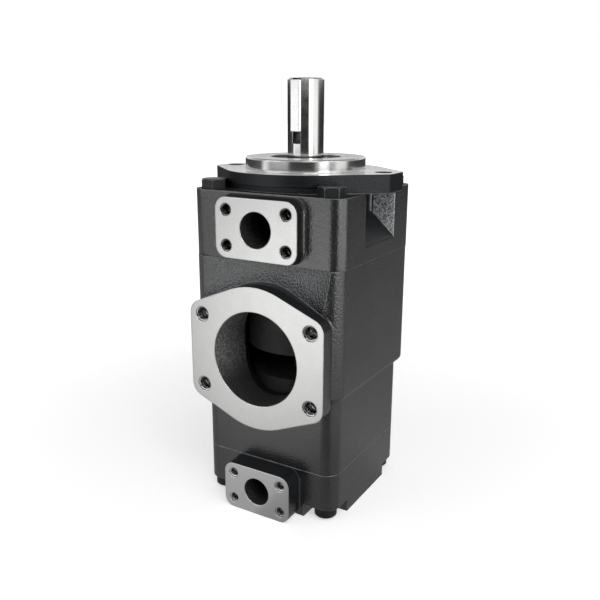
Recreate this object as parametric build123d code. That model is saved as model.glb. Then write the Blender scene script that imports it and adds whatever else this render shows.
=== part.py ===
from build123d import *
import os
from math import acos, atan2, cos, hypot, pi, radians, sin, sqrt, tan

# Double vane pump, upright. Millimetres, +Z along the shaft towards its free end.
# The origin is on the shaft axis, in the plane of the mounting flange face.
# +X runs along the two mounting ears and the three ports face -Y.

# Mounting flange: two-bolt pattern with a round pilot
PILOT_RADIUS = 63.5
PILOT_HEIGHT = 12.7
PILOT_CHAMFER = 1.2
EAR_HOLE_SPACING = 181.0
EAR_HOLE_RADIUS = 8.75
EAR_END_MARGIN = 15.0
EAR_HALF_WIDTH = 21.0
EAR_CORNER_RADIUS = 8.0
FLANGE_THICKNESS = 18.5
FLANGE_RADIUS = 84.0
UNDERCUT_HEIGHT = 6.5
UNDERCUT_DEPTH = 8.0
UNDERCUT_HALF_SPAN = 55.0

# Front cap block
CAP_SIDE_MARGIN = 4.2
CAP_FRONT_MARGIN = 0.2
CAP_REAR_MARGIN = 1.0
CAP_HALF_WIDTH = FLANGE_RADIUS + CAP_SIDE_MARGIN
CAP_FRONT = FLANGE_RADIUS + CAP_FRONT_MARGIN
CAP_REAR = FLANGE_RADIUS + CAP_REAR_MARGIN
CAP_CORNER_RADIUS = 15.0
CAP_DEPTH = 87.5
POCKET_INNER_X = 60.0
POCKET_FRONT = 34.0
POCKET_REAR = 37.0
POCKET_WALL_DROP = 26.0
POCKET_FLOOR_Z = -70.0
POCKET_CORNER_RADIUS = 4.0
POCKET_MOUTH_ROUNDING = 5.0

# Centre housing: a wide block over a narrower one
WIDE_SIDE_STEP = -0.9
WIDE_FRONT_STEP = 2.3
WIDE_REAR_STEP = 2.0
WIDE_HALF_WIDTH = CAP_HALF_WIDTH + WIDE_SIDE_STEP
WIDE_FRONT = CAP_FRONT + WIDE_FRONT_STEP
WIDE_REAR = CAP_REAR + WIDE_REAR_STEP
WIDE_HEIGHT = 136.5
WIDE_BOTTOM_FILLET = 7.0
LOWER_HALF_WIDTH = 81.3
LOWER_FRONT = 79.7
LOWER_REAR = 81.0
LOWER_HEIGHT = 83.0
HOUSING_CORNER_RADIUS = 16.0
RECESS_HALF_WIDTH = 75.5
RECESS_CENTRE_X = 3.5
RECESS_DEPTH = 10.5
RECESS_DROP = 58.0
RECESS_LEAN = 11.0
RECESS_TILT = 2.6

# End cap
END_CAP_DEPTH = 54.7
CORNER_CUT_HEIGHT = 14.2
CORNER_CUT_HALF_WIDTH = 46.0
CORNER_CUT_RADIUS = 10.0

# Ports: four-bolt flange faces looking towards -Y
SUCTION_Z = -185.0
SUCTION_FACE = 101.6
SUCTION_BORE_RADIUS = 50.0
SUCTION_SPAN_X = 130.2
SUCTION_SPAN_Z = 77.8
SUCTION_LOBE_RADIUS = 15.1
SUCTION_RIM_RADIUS = 75.8
SUCTION_HOLE_RADIUS = 8.0
SUCTION_HOLE_DEPTH = 26.0
SUCTION_PLATE_THICKNESS = 15.1
SUCTION_NECK_INSET = 6.0
SUCTION_NECK_ROOT = 5.0
SUCTION_FOOT_FILLET = 3.0

PORT_1_Z = -53.0
PORT_1_FACE = 97.3
PORT_1_BORE_RADIUS = 18.0
PORT_1_SPAN_X = 69.9
PORT_1_SPAN_Z = 35.7
PORT_1_LOBE_RADIUS = 12.7
PORT_1_HOLE_RADIUS = 6.35
PORT_1_HOLE_DEPTH = 24.0
PORT_1_FILLET = 3.0

PORT_2_Z = -335.2
PORT_2_FACE = 101.5
PORT_2_BORE_RADIUS = 15.25
PORT_2_SPAN_X = 58.7
PORT_2_SPAN_Z = 30.2
PORT_2_LOBE_RADIUS = 11.4
PORT_2_HOLE_RADIUS = 5.55
PORT_2_HOLE_DEPTH = 22.0
PORT_2_FILLET = 1.5

MOUTH_CHAMFER = 0.5
DRILL_POINT_SLOPE = 0.6
DRILL_POINT_FLAT = 0.01

# Cap screws
SCREW_RADIUS = 8.0
SCREW_HOLE_CLEARANCE = 0.75
THREAD_ALLOWANCE = 0.05
THREAD_REACH = 26.0
HEX_ACROSS_FLATS = 24.0
HEX_HEAD_HEIGHT = 10.0
HEAD_CHAMFER = 1.2
HEX_CROWN_INSET = 0.24
SCREW_TO_FLANGE_RIM = 13.58
HEX_TURNS = (14.0, 41.0, -1.0, 28.0)
SOCKET_HEAD_RADIUS = 12.0
SOCKET_HEAD_HEIGHT = 16.0
SOCKET_KEY_ACROSS_FLATS = 14.0
SOCKET_KEY_DEPTH = 8.0
COUNTERBORE_CLEARANCE = 1.0
COUNTERBORE_DEPTH = 4.5
END_SCREW_OFFSET = 65.3

# Drive shaft
SHAFT_RADIUS = 19.05
SHAFT_LENGTH_OUT = 91.5
SHAFT_CHAMFER = 1.5
CENTRE_HOLE_RADIUS = 3.2
CENTRE_HOLE_DEPTH = 9.0
CENTRE_SINK_RADIUS = 6.7
CENTRE_SINK_ANGLE = 60.0
KEYWAY_WIDTH = 9.53
KEYWAY_DEPTH = 5.4
KEYWAY_LENGTH = 56.5
KEYWAY_RUNOUT_RADIUS = 10.5
BEARING_SEAT_RADIUS = 20.0
BEARING_SEAT_TOP = 2.5
SEAL_JOURNAL_RADIUS = 22.5
SEAL_JOURNAL_END = -34.0
FRONT_JOURNAL_RADIUS = 17.5
MIDDLE_SHAFT_RADIUS = 15.2
END_JOURNAL_RADIUS = 13.0
SPLINE_DEPTH = 1.7
SPLINE_TEETH = 10
SPLINE_TOOTH_SHARE = 0.476
SPLINE_CLEARANCE = 0.05
RUNNING_CLEARANCE = 0.05

# Ball bearing at the mounting end
BEARING_TOP = -1.5
BEARING_WIDTH = 15.0
BEARING_OUTER_RADIUS = 34.0
BALL_PITCH_RADIUS = 27.0
BALL_RADIUS = 3.95
BALL_COUNT = 12
RACE_SHOULDER = 2.4
RACE_GROOVE_CLEARANCE = 0.05
CAGE_WIDTH = 10.5
CAGE_THICKNESS = 2.2
RETAINER_THICKNESS = 2.0
RETAINER_GROOVE = 1.5
RETAINER_WIDTH = 3.0
RETAINER_GAP_ANGLE = 40.0
CIRCLIP_THICKNESS = 1.75
CIRCLIP_GROOVE = 1.0
CIRCLIP_WIDTH = 3.0

# Shaft seal
MOUTH_RADIUS = 37.4
MOUTH_FLOOR = 3.5
SEAL_OUTER_RADIUS = 31.0
SEAL_WIDTH = 9.0
SEAL_SEAT_DEPTH = 10.0
SEAL_WALL = 1.6
SEAL_BEARING_GAP = 0.5
SEAL_LIP_WIDTH = 3.0
SHAFT_TUNNEL_RADIUS = 25.0

# Front pump chamber
FRONT_SEAT_DEPTH = 11.5
FRONT_CHAMBER_TOP = -34.0
FRONT_CHAMBER_RADIUS = 53.0
FRONT_HUB_WALL = 8.0
FRONT_NECK_RADIUS = 29.9
FRONT_NECK_TOP = -50.0
FRONT_HUB_FLOOR = -42.0
FRONT_CARTRIDGE_RADIUS = 63.0
FRONT_FLANGE_LIP = 2.0
FRONT_PLATE_HEIGHT = 16.5
FRONT_CAM_WIDTH = 60.0
FRONT_SUCTION_PLATE = 26.0
FRONT_ROTOR_RADIUS = 42.0
FRONT_CAM_MINOR = 42.4
FRONT_CAM_STROKE = 5.0
FRONT_VANE_HEIGHT = 14.0
FRONT_VANE_THICKNESS = 4.0
FRONT_BUSH_WALL = 4.0
FRONT_BUSH_LENGTH = 50.0

# Rear pump chamber
REAR_SEAT_DEPTH = 9.0
REAR_CHAMBER_DEPTH = 46.0
REAR_CHAMBER_RADIUS = 52.0
REAR_HUB_WALL = 7.0
REAR_NECK_RADIUS = 25.9
REAR_NECK_LENGTH = 22.0
REAR_HUB_DEPTH = 34.0
REAR_CARTRIDGE_RADIUS = 58.0
REAR_FLANGE_LIP = 2.0
REAR_PLATE_HEIGHT = 24.0
REAR_CAM_WIDTH = 46.0
REAR_SUCTION_PLATE = 18.0
REAR_ROTOR_RADIUS = 36.0
REAR_CAM_MINOR = 36.4
REAR_CAM_STROKE = 4.5
REAR_VANE_HEIGHT = 11.5
REAR_VANE_THICKNESS = 3.5
REAR_BUSH_WALL = 4.0
REAR_BUSH_LENGTH = 40.0

# Shared by both pump cartridges
VANE_COUNT = 10
VANE_TIP_RADIUS = 3.0
VANE_SIDE_CLEARANCE = 0.05
VANE_END_CLEARANCE = 0.05
VANE_REST_INSET = 0.3
SLOT_BOTTOM_GAP = 0.3
SLOT_ROOT_RADIUS = 2.8
ROTOR_END_CLEARANCE = 0.05
CAVITY_CLEARANCE = 0.5
SEAT_CLEARANCE = 0.2
KIDNEY_WIDTH = 4.0
KIDNEY_SWEEP = 44.0
KIDNEY_ANGLE = 45.0
CARTRIDGE_SCREW_RADIUS = 3.0
CARTRIDGE_SCREW_HEAD_RADIUS = 5.0
CARTRIDGE_SCREW_HEAD_HEIGHT = 6.0
CARTRIDGE_SCREW_KEY = 5.0
CARTRIDGE_SCREW_KEY_DEPTH = 3.0
CARTRIDGE_SCREW_ANGLE = 45.0
CARTRIDGE_SCREW_INSET = 1.0
PLATE_SHAFT_GAP = 1.0
DOWEL_RADIUS = 3.0
DOWEL_ANGLE = 135.0
DOWEL_BITE = 8.0
FIT_ALLOWANCE = 0.05

# Seal rings between the castings and on the pressure plate necks
RING_SECTION_RADIUS = 1.5
RING_GROOVE_WIDTH = 4.0
RING_GROOVE_DEPTH = 3.1
RING_GROOVE_INSET = 6.5
NECK_RING_RADIUS = 1.2
NECK_RING_GROOVE_DEPTH = 2.6
NECK_RING_GROOVE_WIDTH = 3.4

# Heights worked out from the sizes above
BLOCK_TOP = -FLANGE_THICKNESS
FRONT_SEAM = -CAP_DEPTH
WIDE_BOTTOM = FRONT_SEAM - WIDE_HEIGHT
REAR_SEAM = WIDE_BOTTOM - LOWER_HEIGHT
PUMP_BOTTOM = REAR_SEAM - END_CAP_DEPTH
BEARING_BOTTOM = BEARING_TOP - BEARING_WIDTH
FRONT_SEAT_FLOOR = FRONT_SEAM + FRONT_SEAT_DEPTH
FRONT_CAM_TOP = FRONT_SEAM - FRONT_PLATE_HEIGHT
FRONT_CAM_BOTTOM = FRONT_CAM_TOP - FRONT_CAM_WIDTH
REAR_SEAT_FLOOR = REAR_SEAM - REAR_SEAT_DEPTH
REAR_CAM_BOTTOM = REAR_SEAM + REAR_PLATE_HEIGHT
REAR_CAM_TOP = REAR_CAM_BOTTOM + REAR_CAM_WIDTH
EAR_X = EAR_HOLE_SPACING / 2
FRONT_SCREW_OFFSET = (FLANGE_RADIUS + SCREW_TO_FLANGE_RIM) / sqrt(2)
SCREW_HOLE_RADIUS = SCREW_RADIUS + SCREW_HOLE_CLEARANCE
TAPPED_RADIUS = SCREW_RADIUS + THREAD_ALLOWANCE
END_SCREW_SEAT = PUMP_BOTTOM + CORNER_CUT_HEIGHT + COUNTERBORE_DEPTH

# How far a cutter runs past the surface it opens, how far past everything, and what counts as touching
OVERRUN = 1.0
REACH = -PUMP_BOTTOM
TOUCH = 0.01


# Small building blocks


def disc(radius, low, high, x=0.0, y=0.0):
    """Upright cylinder between two heights."""
    return Pos(x, y, low) * Cylinder(radius, high - low, align=(Align.CENTER, Align.CENTER, Align.MIN))


def ring(inner, outer, low, high):
    """Upright tube between two heights."""
    return disc(outer, low, high) - disc(inner, low - OVERRUN, high + OVERRUN)


def turned(points):
    """Solid turned about the shaft axis from (radius, height) points."""
    return revolve(Plane.XZ * make_face(Polyline(points, close=True)), axis=Axis.Z)


def rounded_block(half_width, front, rear, corner, low, high):
    """Upright block with rounded corners."""
    outline = Pos(0, (rear - front) / 2) * RectangleRounded(2 * half_width, front + rear, corner)
    return extrude(Pos(0, 0, low) * outline, amount=high - low)


def belt(circles):
    """Face inside a tight belt run counter-clockwise round (x, y, radius) circles."""
    normals = []
    for (x1, y1, r1), (x2, y2, r2) in zip(circles, circles[1:] + circles[:1]):
        heading = atan2(y2 - y1, x2 - x1)
        normals.append(heading - acos((r1 - r2) / hypot(x2 - x1, y2 - y1)))

    def on_circle(circle, angle):
        x, y, radius = circle
        return (x + radius * cos(angle), y + radius * sin(angle))

    edges = []
    for i, circle in enumerate(circles):
        start = normals[i - 1]
        sweep = (normals[i] - start) % (2 * pi)
        end = on_circle(circle, start + sweep)
        edges.append(ThreePointArc(on_circle(circle, start), on_circle(circle, start + sweep / 2), end))
        edges.append(Line(end, on_circle(circles[(i + 1) % len(circles)], normals[i])))
    return make_face(Wire(edges))


def corners(span_x, span_z):
    """Four corner points of a rectangle, counter-clockwise from its upper right."""
    return [(sx * span_x / 2, sz * span_z / 2) for sx, sz in ((1, 1), (-1, 1), (-1, -1), (1, -1))]


def port_plane(face, height):
    """Plane of a port face: local x is +X, local y is +Z, and it looks towards -Y."""
    return Plane(origin=(0, -face, height), x_dir=(1, 0, 0), z_dir=(0, -1, 0))


def add_boss(body, face, wall, height, span_x, span_z, lobe, blend):
    """Stand a port boss, its corners centred on its bolts, on a wall with a cast fillet at its foot."""
    half_x = span_x / 2 + lobe
    half_z = span_z / 2 + lobe
    outline = RectangleRounded(2 * half_x, 2 * half_z, lobe)
    body += extrude(port_plane(face, height) * outline, amount=-(face - wall + OVERRUN))

    def at_foot(edge):
        middle = edge.center()
        in_wall = abs(middle.Y + wall) < TOUCH
        return in_wall and abs(middle.X) < half_x + TOUCH and abs(middle.Z - height) < half_z + TOUCH

    return fillet(body.edges().filter_by(at_foot), blend)


def tapped_hole(radius, depth):
    """Cutter for a blind hole that enters its plane from the outside."""
    bottom_align = (Align.CENTER, Align.CENTER, Align.MAX)
    hole = Cylinder(radius, depth, align=bottom_align)
    tip = Pos(0, 0, -depth) * Cone(DRILL_POINT_FLAT, radius, radius * DRILL_POINT_SLOPE, align=bottom_align)
    mouth = Cone(radius, radius + MOUTH_CHAMFER, MOUTH_CHAMFER, align=bottom_align)
    return hole + tip + mouth


def port_cutter(face, height, bore, bore_depth, span_x, span_z, hole_radius, hole_depth):
    """Cutter for a port: its bore and the four tapped holes round it."""
    bottom_align = (Align.CENTER, Align.CENTER, Align.MAX)
    plane = port_plane(face, height)
    cutter = plane * Cylinder(bore, bore_depth, align=bottom_align)
    cutter += plane * Cone(bore, bore + MOUTH_CHAMFER, MOUTH_CHAMFER, align=bottom_align)
    for x, z in corners(span_x, span_z):
        cutter += plane * Pos(x, z) * tapped_hole(hole_radius, hole_depth)
    return cutter


def square_places(offset):
    """Four points at the corners of a square about the shaft axis."""
    return [(sx * offset, sy * offset) for sx, sy in ((1, 1), (-1, 1), (-1, -1), (1, -1))]


def polar(radius, angle):
    """Point on a circle about the shaft axis, angle in degrees."""
    return (radius * cos(radians(angle)), radius * sin(radians(angle)))


def face_groove(radius, seam, direction):
    """Cutter for a seal ring groove in a seam face; direction is the way into the casting."""
    low, high = sorted((seam - direction, seam + direction * RING_GROOVE_DEPTH))
    return ring(radius - RING_GROOVE_WIDTH / 2, radius + RING_GROOVE_WIDTH / 2, low, high)


# Castings


def flange_plate():
    """Mounting flange: a round plate drawn out to two square-ended ears."""
    corner_x = EAR_X + EAR_END_MARGIN - EAR_CORNER_RADIUS
    corner_y = EAR_HALF_WIDTH - EAR_CORNER_RADIUS
    outline = belt([
        (corner_x, -corner_y, EAR_CORNER_RADIUS),
        (corner_x, corner_y, EAR_CORNER_RADIUS),
        (0, 0, FLANGE_RADIUS),
        (-corner_x, corner_y, EAR_CORNER_RADIUS),
        (-corner_x, -corner_y, EAR_CORNER_RADIUS),
        (0, 0, FLANGE_RADIUS),
    ])
    return extrude(Pos(0, 0, BLOCK_TOP) * outline, amount=FLANGE_THICKNESS)


def flange_undercut():
    """Crescent cut away under the front rim of the flange plate."""
    rim_y = sqrt(FLANGE_RADIUS ** 2 - UNDERCUT_HALF_SPAN ** 2)
    floor_y = FLANGE_RADIUS - UNDERCUT_DEPTH
    centre_y = (UNDERCUT_HALF_SPAN ** 2 + rim_y ** 2 - floor_y ** 2) / (2 * (floor_y - rim_y))
    top = BLOCK_TOP + UNDERCUT_HEIGHT
    front_half = Pos(0, -REACH / 2, BLOCK_TOP) * Box(2 * UNDERCUT_HALF_SPAN, REACH, UNDERCUT_HEIGHT,
                                                      align=(Align.CENTER, Align.CENTER, Align.MIN))
    return front_half - disc(floor_y + centre_y, BLOCK_TOP - OVERRUN, top + OVERRUN, y=centre_y)


def ear_pocket(side):
    """Wrench room under one ear: an upright inner wall over a floor that runs out down the side."""
    wall_foot = BLOCK_TOP - POCKET_WALL_DROP
    slope = (POCKET_FLOOR_Z - wall_foot) / (CAP_HALF_WIDTH - POCKET_INNER_X)
    outer_x = EAR_X + EAR_END_MARGIN + EAR_CORNER_RADIUS
    outer_z = wall_foot + slope * (outer_x - POCKET_INNER_X)
    profile = Polyline((side * POCKET_INNER_X, BLOCK_TOP), (side * POCKET_INNER_X, wall_foot),
                       (side * outer_x, outer_z), (side * outer_x, BLOCK_TOP), close=True)
    length = POCKET_FRONT + POCKET_REAR
    cutter = extrude(Plane.XZ.offset(POCKET_FRONT) * make_face(profile), amount=-length)
    upright = cutter.edges().filter_by(Axis.Z)
    inner = upright.filter_by(lambda edge: abs(edge.center().X) < POCKET_INNER_X + OVERRUN)
    return fillet(inner, POCKET_CORNER_RADIUS)


def at_pocket_mouth(edge):
    """Whether an edge is the lower lip of an ear pocket, where its floor runs out."""
    middle = edge.center()
    return abs(abs(middle.X) - CAP_HALF_WIDTH) < TOUCH and abs(middle.Z - POCKET_FLOOR_Z) < TOUCH


def front_cap():
    """Mounting casting: flange, pilot, bearing and seal seats, first pressure port."""
    body = rounded_block(CAP_HALF_WIDTH, CAP_FRONT, CAP_REAR, CAP_CORNER_RADIUS, FRONT_SEAM, BLOCK_TOP)
    plate = flange_plate() - flange_undercut()
    body += plate
    pilot = disc(PILOT_RADIUS, 0, PILOT_HEIGHT)
    body += chamfer(pilot.edges().group_by(Axis.Z)[-1], PILOT_CHAMFER)
    body = add_boss(body, PORT_1_FACE, CAP_FRONT, PORT_1_Z, PORT_1_SPAN_X, PORT_1_SPAN_Z,
                    PORT_1_LOBE_RADIUS, PORT_1_FILLET)
    body -= ear_pocket(1) + ear_pocket(-1)
    body = fillet(body.edges().filter_by(at_pocket_mouth), POCKET_MOUTH_ROUNDING)
    for side in (-1, 1):
        body -= disc(EAR_HOLE_RADIUS, BLOCK_TOP - OVERRUN, 1, x=side * EAR_X)
    for x, y in square_places(FRONT_SCREW_OFFSET):
        body -= disc(SCREW_HOLE_RADIUS, FRONT_SEAM - OVERRUN, BLOCK_TOP + OVERRUN, x, y)
    body -= front_cap_bores()
    body -= port_cutter(PORT_1_FACE, PORT_1_Z, PORT_1_BORE_RADIUS,
                        PORT_1_FACE - (FRONT_CHAMBER_RADIUS + hub_radius_front()) / 2,
                        PORT_1_SPAN_X, PORT_1_SPAN_Z, PORT_1_HOLE_RADIUS, PORT_1_HOLE_DEPTH)
    return body


def hub_radius_front():
    """Outer radius of the tube that carries the front pressure plate's neck."""
    return FRONT_NECK_RADIUS + SEAT_CLEARANCE + FRONT_HUB_WALL


def front_cap_bores():
    """Everything turned out of the front cap, from the mouth down to the seam."""
    seat_radius = FRONT_CARTRIDGE_RADIUS + FRONT_FLANGE_LIP + SEAT_CLEARANCE
    seal_floor = BEARING_BOTTOM - SEAL_SEAT_DEPTH
    bores = disc(MOUTH_RADIUS, MOUTH_FLOOR, PILOT_HEIGHT + OVERRUN)
    bores += disc(BEARING_OUTER_RADIUS, BEARING_BOTTOM, MOUTH_FLOOR + OVERRUN)
    bores += disc(BEARING_OUTER_RADIUS + RETAINER_GROOVE, BEARING_TOP,
                  BEARING_TOP + RETAINER_THICKNESS + FIT_ALLOWANCE)
    bores += disc(SEAL_OUTER_RADIUS, seal_floor, BEARING_BOTTOM + OVERRUN)
    bores += disc(SHAFT_TUNNEL_RADIUS, FRONT_HUB_FLOOR - OVERRUN, seal_floor + OVERRUN)
    bores += disc(FRONT_NECK_RADIUS + SEAT_CLEARANCE, FRONT_SEAT_FLOOR - OVERRUN, FRONT_HUB_FLOOR)
    bores += ring(hub_radius_front(), FRONT_CHAMBER_RADIUS, FRONT_SEAT_FLOOR - OVERRUN, FRONT_CHAMBER_TOP)
    bores += disc(seat_radius, FRONT_SEAM - OVERRUN, FRONT_SEAT_FLOOR)
    bores += face_groove(seat_radius + RING_GROOVE_INSET, FRONT_SEAM, 1)
    return bores


def column_recess():
    """Scoop above the suction flange: part of a wide drum that leans left and out as it goes down."""
    radius = (RECESS_HALF_WIDTH ** 2 + RECESS_DEPTH ** 2) / (2 * RECESS_DEPTH)
    drum = Rot(-RECESS_TILT, RECESS_LEAN, 0) * Cylinder(radius, 4 * RECESS_DROP)
    drum = Pos(RECESS_CENTRE_X, RECESS_DEPTH - WIDE_FRONT - radius, FRONT_SEAM) * drum
    band = Box(2 * REACH, 2 * REACH, RECESS_DROP + OVERRUN, align=(Align.CENTER, Align.MAX, Align.MAX))
    return drum & Pos(0, 0, FRONT_SEAM + OVERRUN) * band


def suction_outline(inset=0.0):
    """Outline of the suction flange: four bolt lobes joined to a round rim."""
    lobes = [(x, z, SUCTION_LOBE_RADIUS - inset) for x, z in corners(SUCTION_SPAN_X, SUCTION_SPAN_Z)]
    rim = (0, 0, SUCTION_RIM_RADIUS - inset)
    return belt([lobes[0], rim, lobes[1], lobes[2], rim, lobes[3]])


def suction_prism():
    """Suction boss from its port face back to below the floor of the recess."""
    depth = SUCTION_FACE - WIDE_FRONT + RECESS_DEPTH + SUCTION_NECK_ROOT
    return extrude(port_plane(SUCTION_FACE, SUCTION_Z) * suction_outline(), amount=-depth)


def wide_block():
    """Upper block of the housing with the suction boss, a cast fillet round its foot, and the recess."""
    block = rounded_block(WIDE_HALF_WIDTH, WIDE_FRONT, WIDE_REAR, HOUSING_CORNER_RADIUS,
                          WIDE_BOTTOM, FRONT_SEAM)
    block = fillet(block.edges().group_by(Axis.Z)[0], WIDE_BOTTOM_FILLET)
    low = WIDE_BOTTOM + WIDE_BOTTOM_FILLET
    above = Box(2 * REACH, 2 * REACH, REACH, align=(Align.CENTER, Align.CENTER, Align.MIN))
    boss = suction_prism() & Pos(0, 0, low) * above
    joined = block + boss
    foot = new_edges(block, boss, combined=joined).filter_by(lambda edge: edge.center().Z > low + TOUCH)
    return fillet(foot, SUCTION_FOOT_FILLET) - (column_recess() - suction_prism())


def centre_housing():
    """Middle casting: suction chamber, both cartridge bores and the suction flange."""
    body = wide_block()
    body += rounded_block(LOWER_HALF_WIDTH, LOWER_FRONT, LOWER_REAR, HOUSING_CORNER_RADIUS,
                          REAR_SEAM, WIDE_BOTTOM + WIDE_BOTTOM_FILLET)
    plane = port_plane(SUCTION_FACE, SUCTION_Z)
    body += extrude(plane * suction_outline(), amount=-SUCTION_PLATE_THICKNESS)
    neck_depth = SUCTION_FACE - LOWER_FRONT + SUCTION_NECK_ROOT
    body += extrude(plane * suction_outline(SUCTION_NECK_INSET), amount=-neck_depth)
    front_bore = FRONT_CARTRIDGE_RADIUS + CAVITY_CLEARANCE
    rear_bore = REAR_CARTRIDGE_RADIUS + CAVITY_CLEARANCE
    body -= disc(front_bore, WIDE_BOTTOM, FRONT_SEAM + OVERRUN)
    body -= disc(rear_bore, REAR_SEAM - OVERRUN, WIDE_BOTTOM + OVERRUN)
    body -= port_cutter(SUCTION_FACE, SUCTION_Z, SUCTION_BORE_RADIUS, SUCTION_FACE,
                        SUCTION_SPAN_X, SUCTION_SPAN_Z, SUCTION_HOLE_RADIUS, SUCTION_HOLE_DEPTH)
    for x, y in square_places(FRONT_SCREW_OFFSET):
        body -= disc(TAPPED_RADIUS, FRONT_SEAM - THREAD_REACH - SCREW_RADIUS, FRONT_SEAM + OVERRUN, x, y)
    for x, y in square_places(END_SCREW_OFFSET):
        body -= disc(TAPPED_RADIUS, REAR_SEAM - OVERRUN, REAR_SEAM + THREAD_REACH + SCREW_RADIUS, x, y)
    return body


def hub_radius_rear():
    """Outer radius of the tube that carries the rear pressure plate's neck."""
    return REAR_NECK_RADIUS + SEAT_CLEARANCE + REAR_HUB_WALL


def corner_cut():
    """Material taken from the four lower corners of the end cap."""
    low = PUMP_BOTTOM - OVERRUN
    high = PUMP_BOTTOM + CORNER_CUT_HEIGHT
    size = LOWER_HALF_WIDTH
    cut = None
    for x, y in square_places(CORNER_CUT_HALF_WIDTH + size / 2):
        block = extrude(Pos(x, y, low) * RectangleRounded(size, size, CORNER_CUT_RADIUS), amount=high - low)
        cut = block if cut is None else cut + block
    return cut


def end_cap():
    """Rear casting: closes the housing and carries the second pressure port."""
    body = rounded_block(LOWER_HALF_WIDTH, LOWER_FRONT, LOWER_REAR, HOUSING_CORNER_RADIUS,
                         PUMP_BOTTOM, REAR_SEAM)
    body -= corner_cut()
    body = add_boss(body, PORT_2_FACE, LOWER_FRONT, PORT_2_Z, PORT_2_SPAN_X, PORT_2_SPAN_Z,
                    PORT_2_LOBE_RADIUS, PORT_2_FILLET)
    seat_radius = REAR_CARTRIDGE_RADIUS + REAR_FLANGE_LIP + SEAT_CLEARANCE
    body -= disc(seat_radius, REAR_SEAT_FLOOR, REAR_SEAM + OVERRUN)
    body -= ring(hub_radius_rear(), REAR_CHAMBER_RADIUS, REAR_SEAM - REAR_CHAMBER_DEPTH,
                 REAR_SEAT_FLOOR + OVERRUN)
    body -= disc(REAR_NECK_RADIUS + SEAT_CLEARANCE, REAR_SEAM - REAR_HUB_DEPTH, REAR_SEAT_FLOOR + OVERRUN)
    body -= face_groove(seat_radius + RING_GROOVE_INSET, REAR_SEAM, -1)
    for x, y in square_places(END_SCREW_OFFSET):
        body -= disc(SCREW_HOLE_RADIUS, END_SCREW_SEAT - OVERRUN, REAR_SEAM + OVERRUN, x, y)
        body -= disc(SOCKET_HEAD_RADIUS + COUNTERBORE_CLEARANCE, PUMP_BOTTOM - OVERRUN,
                     END_SCREW_SEAT, x, y)
    body -= port_cutter(PORT_2_FACE, PORT_2_Z, PORT_2_BORE_RADIUS,
                        PORT_2_FACE - (REAR_CHAMBER_RADIUS + hub_radius_rear()) / 2,
                        PORT_2_SPAN_X, PORT_2_SPAN_Z, PORT_2_HOLE_RADIUS, PORT_2_HOLE_DEPTH)
    return body


# Fasteners and seals of the castings


def front_cap_screws():
    """Four hex-head screws that pull the front cap onto the centre housing."""
    head = extrude(Pos(0, 0, BLOCK_TOP) * RegularPolygon(HEX_ACROSS_FLATS / 2, 6, major_radius=False),
                   amount=HEX_HEAD_HEIGHT)
    crown_radius = HEX_ACROSS_FLATS / 2
    crown_base = BLOCK_TOP + HEX_HEAD_HEIGHT - HEAD_CHAMFER
    crown = disc(HEX_ACROSS_FLATS, BLOCK_TOP, crown_base)
    crown += Pos(0, 0, crown_base) * Cone(crown_radius * 2 / sqrt(3), crown_radius - HEX_CROWN_INSET,
                                          HEAD_CHAMFER, align=(Align.CENTER, Align.CENTER, Align.MIN))
    screw = (head & crown) + disc(SCREW_RADIUS, FRONT_SEAM - THREAD_REACH, BLOCK_TOP)
    places = zip(square_places(FRONT_SCREW_OFFSET), HEX_TURNS)
    return Compound([Pos(x, y) * Rot(0, 0, turn) * screw for (x, y), turn in places])


def end_cap_screws():
    """Four socket-head screws that pull the end cap onto the centre housing."""
    head = disc(SOCKET_HEAD_RADIUS, END_SCREW_SEAT - SOCKET_HEAD_HEIGHT, END_SCREW_SEAT)
    head = chamfer(head.edges().group_by(Axis.Z)[0], HEAD_CHAMFER)
    key = RegularPolygon(SOCKET_KEY_ACROSS_FLATS / 2, 6, major_radius=False)
    head -= extrude(Pos(0, 0, END_SCREW_SEAT - SOCKET_HEAD_HEIGHT) * key, amount=SOCKET_KEY_DEPTH)
    screw = head + disc(SCREW_RADIUS, END_SCREW_SEAT, REAR_SEAM + THREAD_REACH)
    return Compound([Pos(x, y) * screw for x, y in square_places(END_SCREW_OFFSET)])


def front_cap_seal():
    """Ring between front cap and centre housing."""
    radius = FRONT_CARTRIDGE_RADIUS + FRONT_FLANGE_LIP + SEAT_CLEARANCE + RING_GROOVE_INSET
    return Pos(0, 0, FRONT_SEAM + RING_SECTION_RADIUS + FIT_ALLOWANCE) * Torus(radius, RING_SECTION_RADIUS)


def end_cap_seal():
    """Ring between end cap and centre housing."""
    radius = REAR_CARTRIDGE_RADIUS + REAR_FLANGE_LIP + SEAT_CLEARANCE + RING_GROOVE_INSET
    return Pos(0, 0, REAR_SEAM - RING_SECTION_RADIUS - FIT_ALLOWANCE) * Torus(radius, RING_SECTION_RADIUS)


def shaft_seal():
    """Lip seal pressed in below the bearing, its lip on the shaft's seal journal."""
    top = BEARING_BOTTOM - SEAL_BEARING_GAP
    low = top - SEAL_WIDTH
    lip = SEAL_JOURNAL_RADIUS + RUNNING_CLEARANCE
    return turned([
        (SEAL_OUTER_RADIUS, top),
        (SEAL_OUTER_RADIUS, low),
        (SEAL_OUTER_RADIUS - SEAL_WALL, low),
        (SEAL_OUTER_RADIUS - SEAL_WALL, top - SEAL_WALL),
        (lip + SEAL_LIP_WIDTH, top - SEAL_WALL),
        (lip + SEAL_LIP_WIDTH, low + SEAL_WALL),
        (lip + SEAL_LIP_WIDTH / 2, low),
        (lip, low + SEAL_WALL),
        (lip + SEAL_LIP_WIDTH / 2, top - SEAL_WALL),
        (lip + SEAL_WALL, top),
    ])


# Bearing


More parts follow.
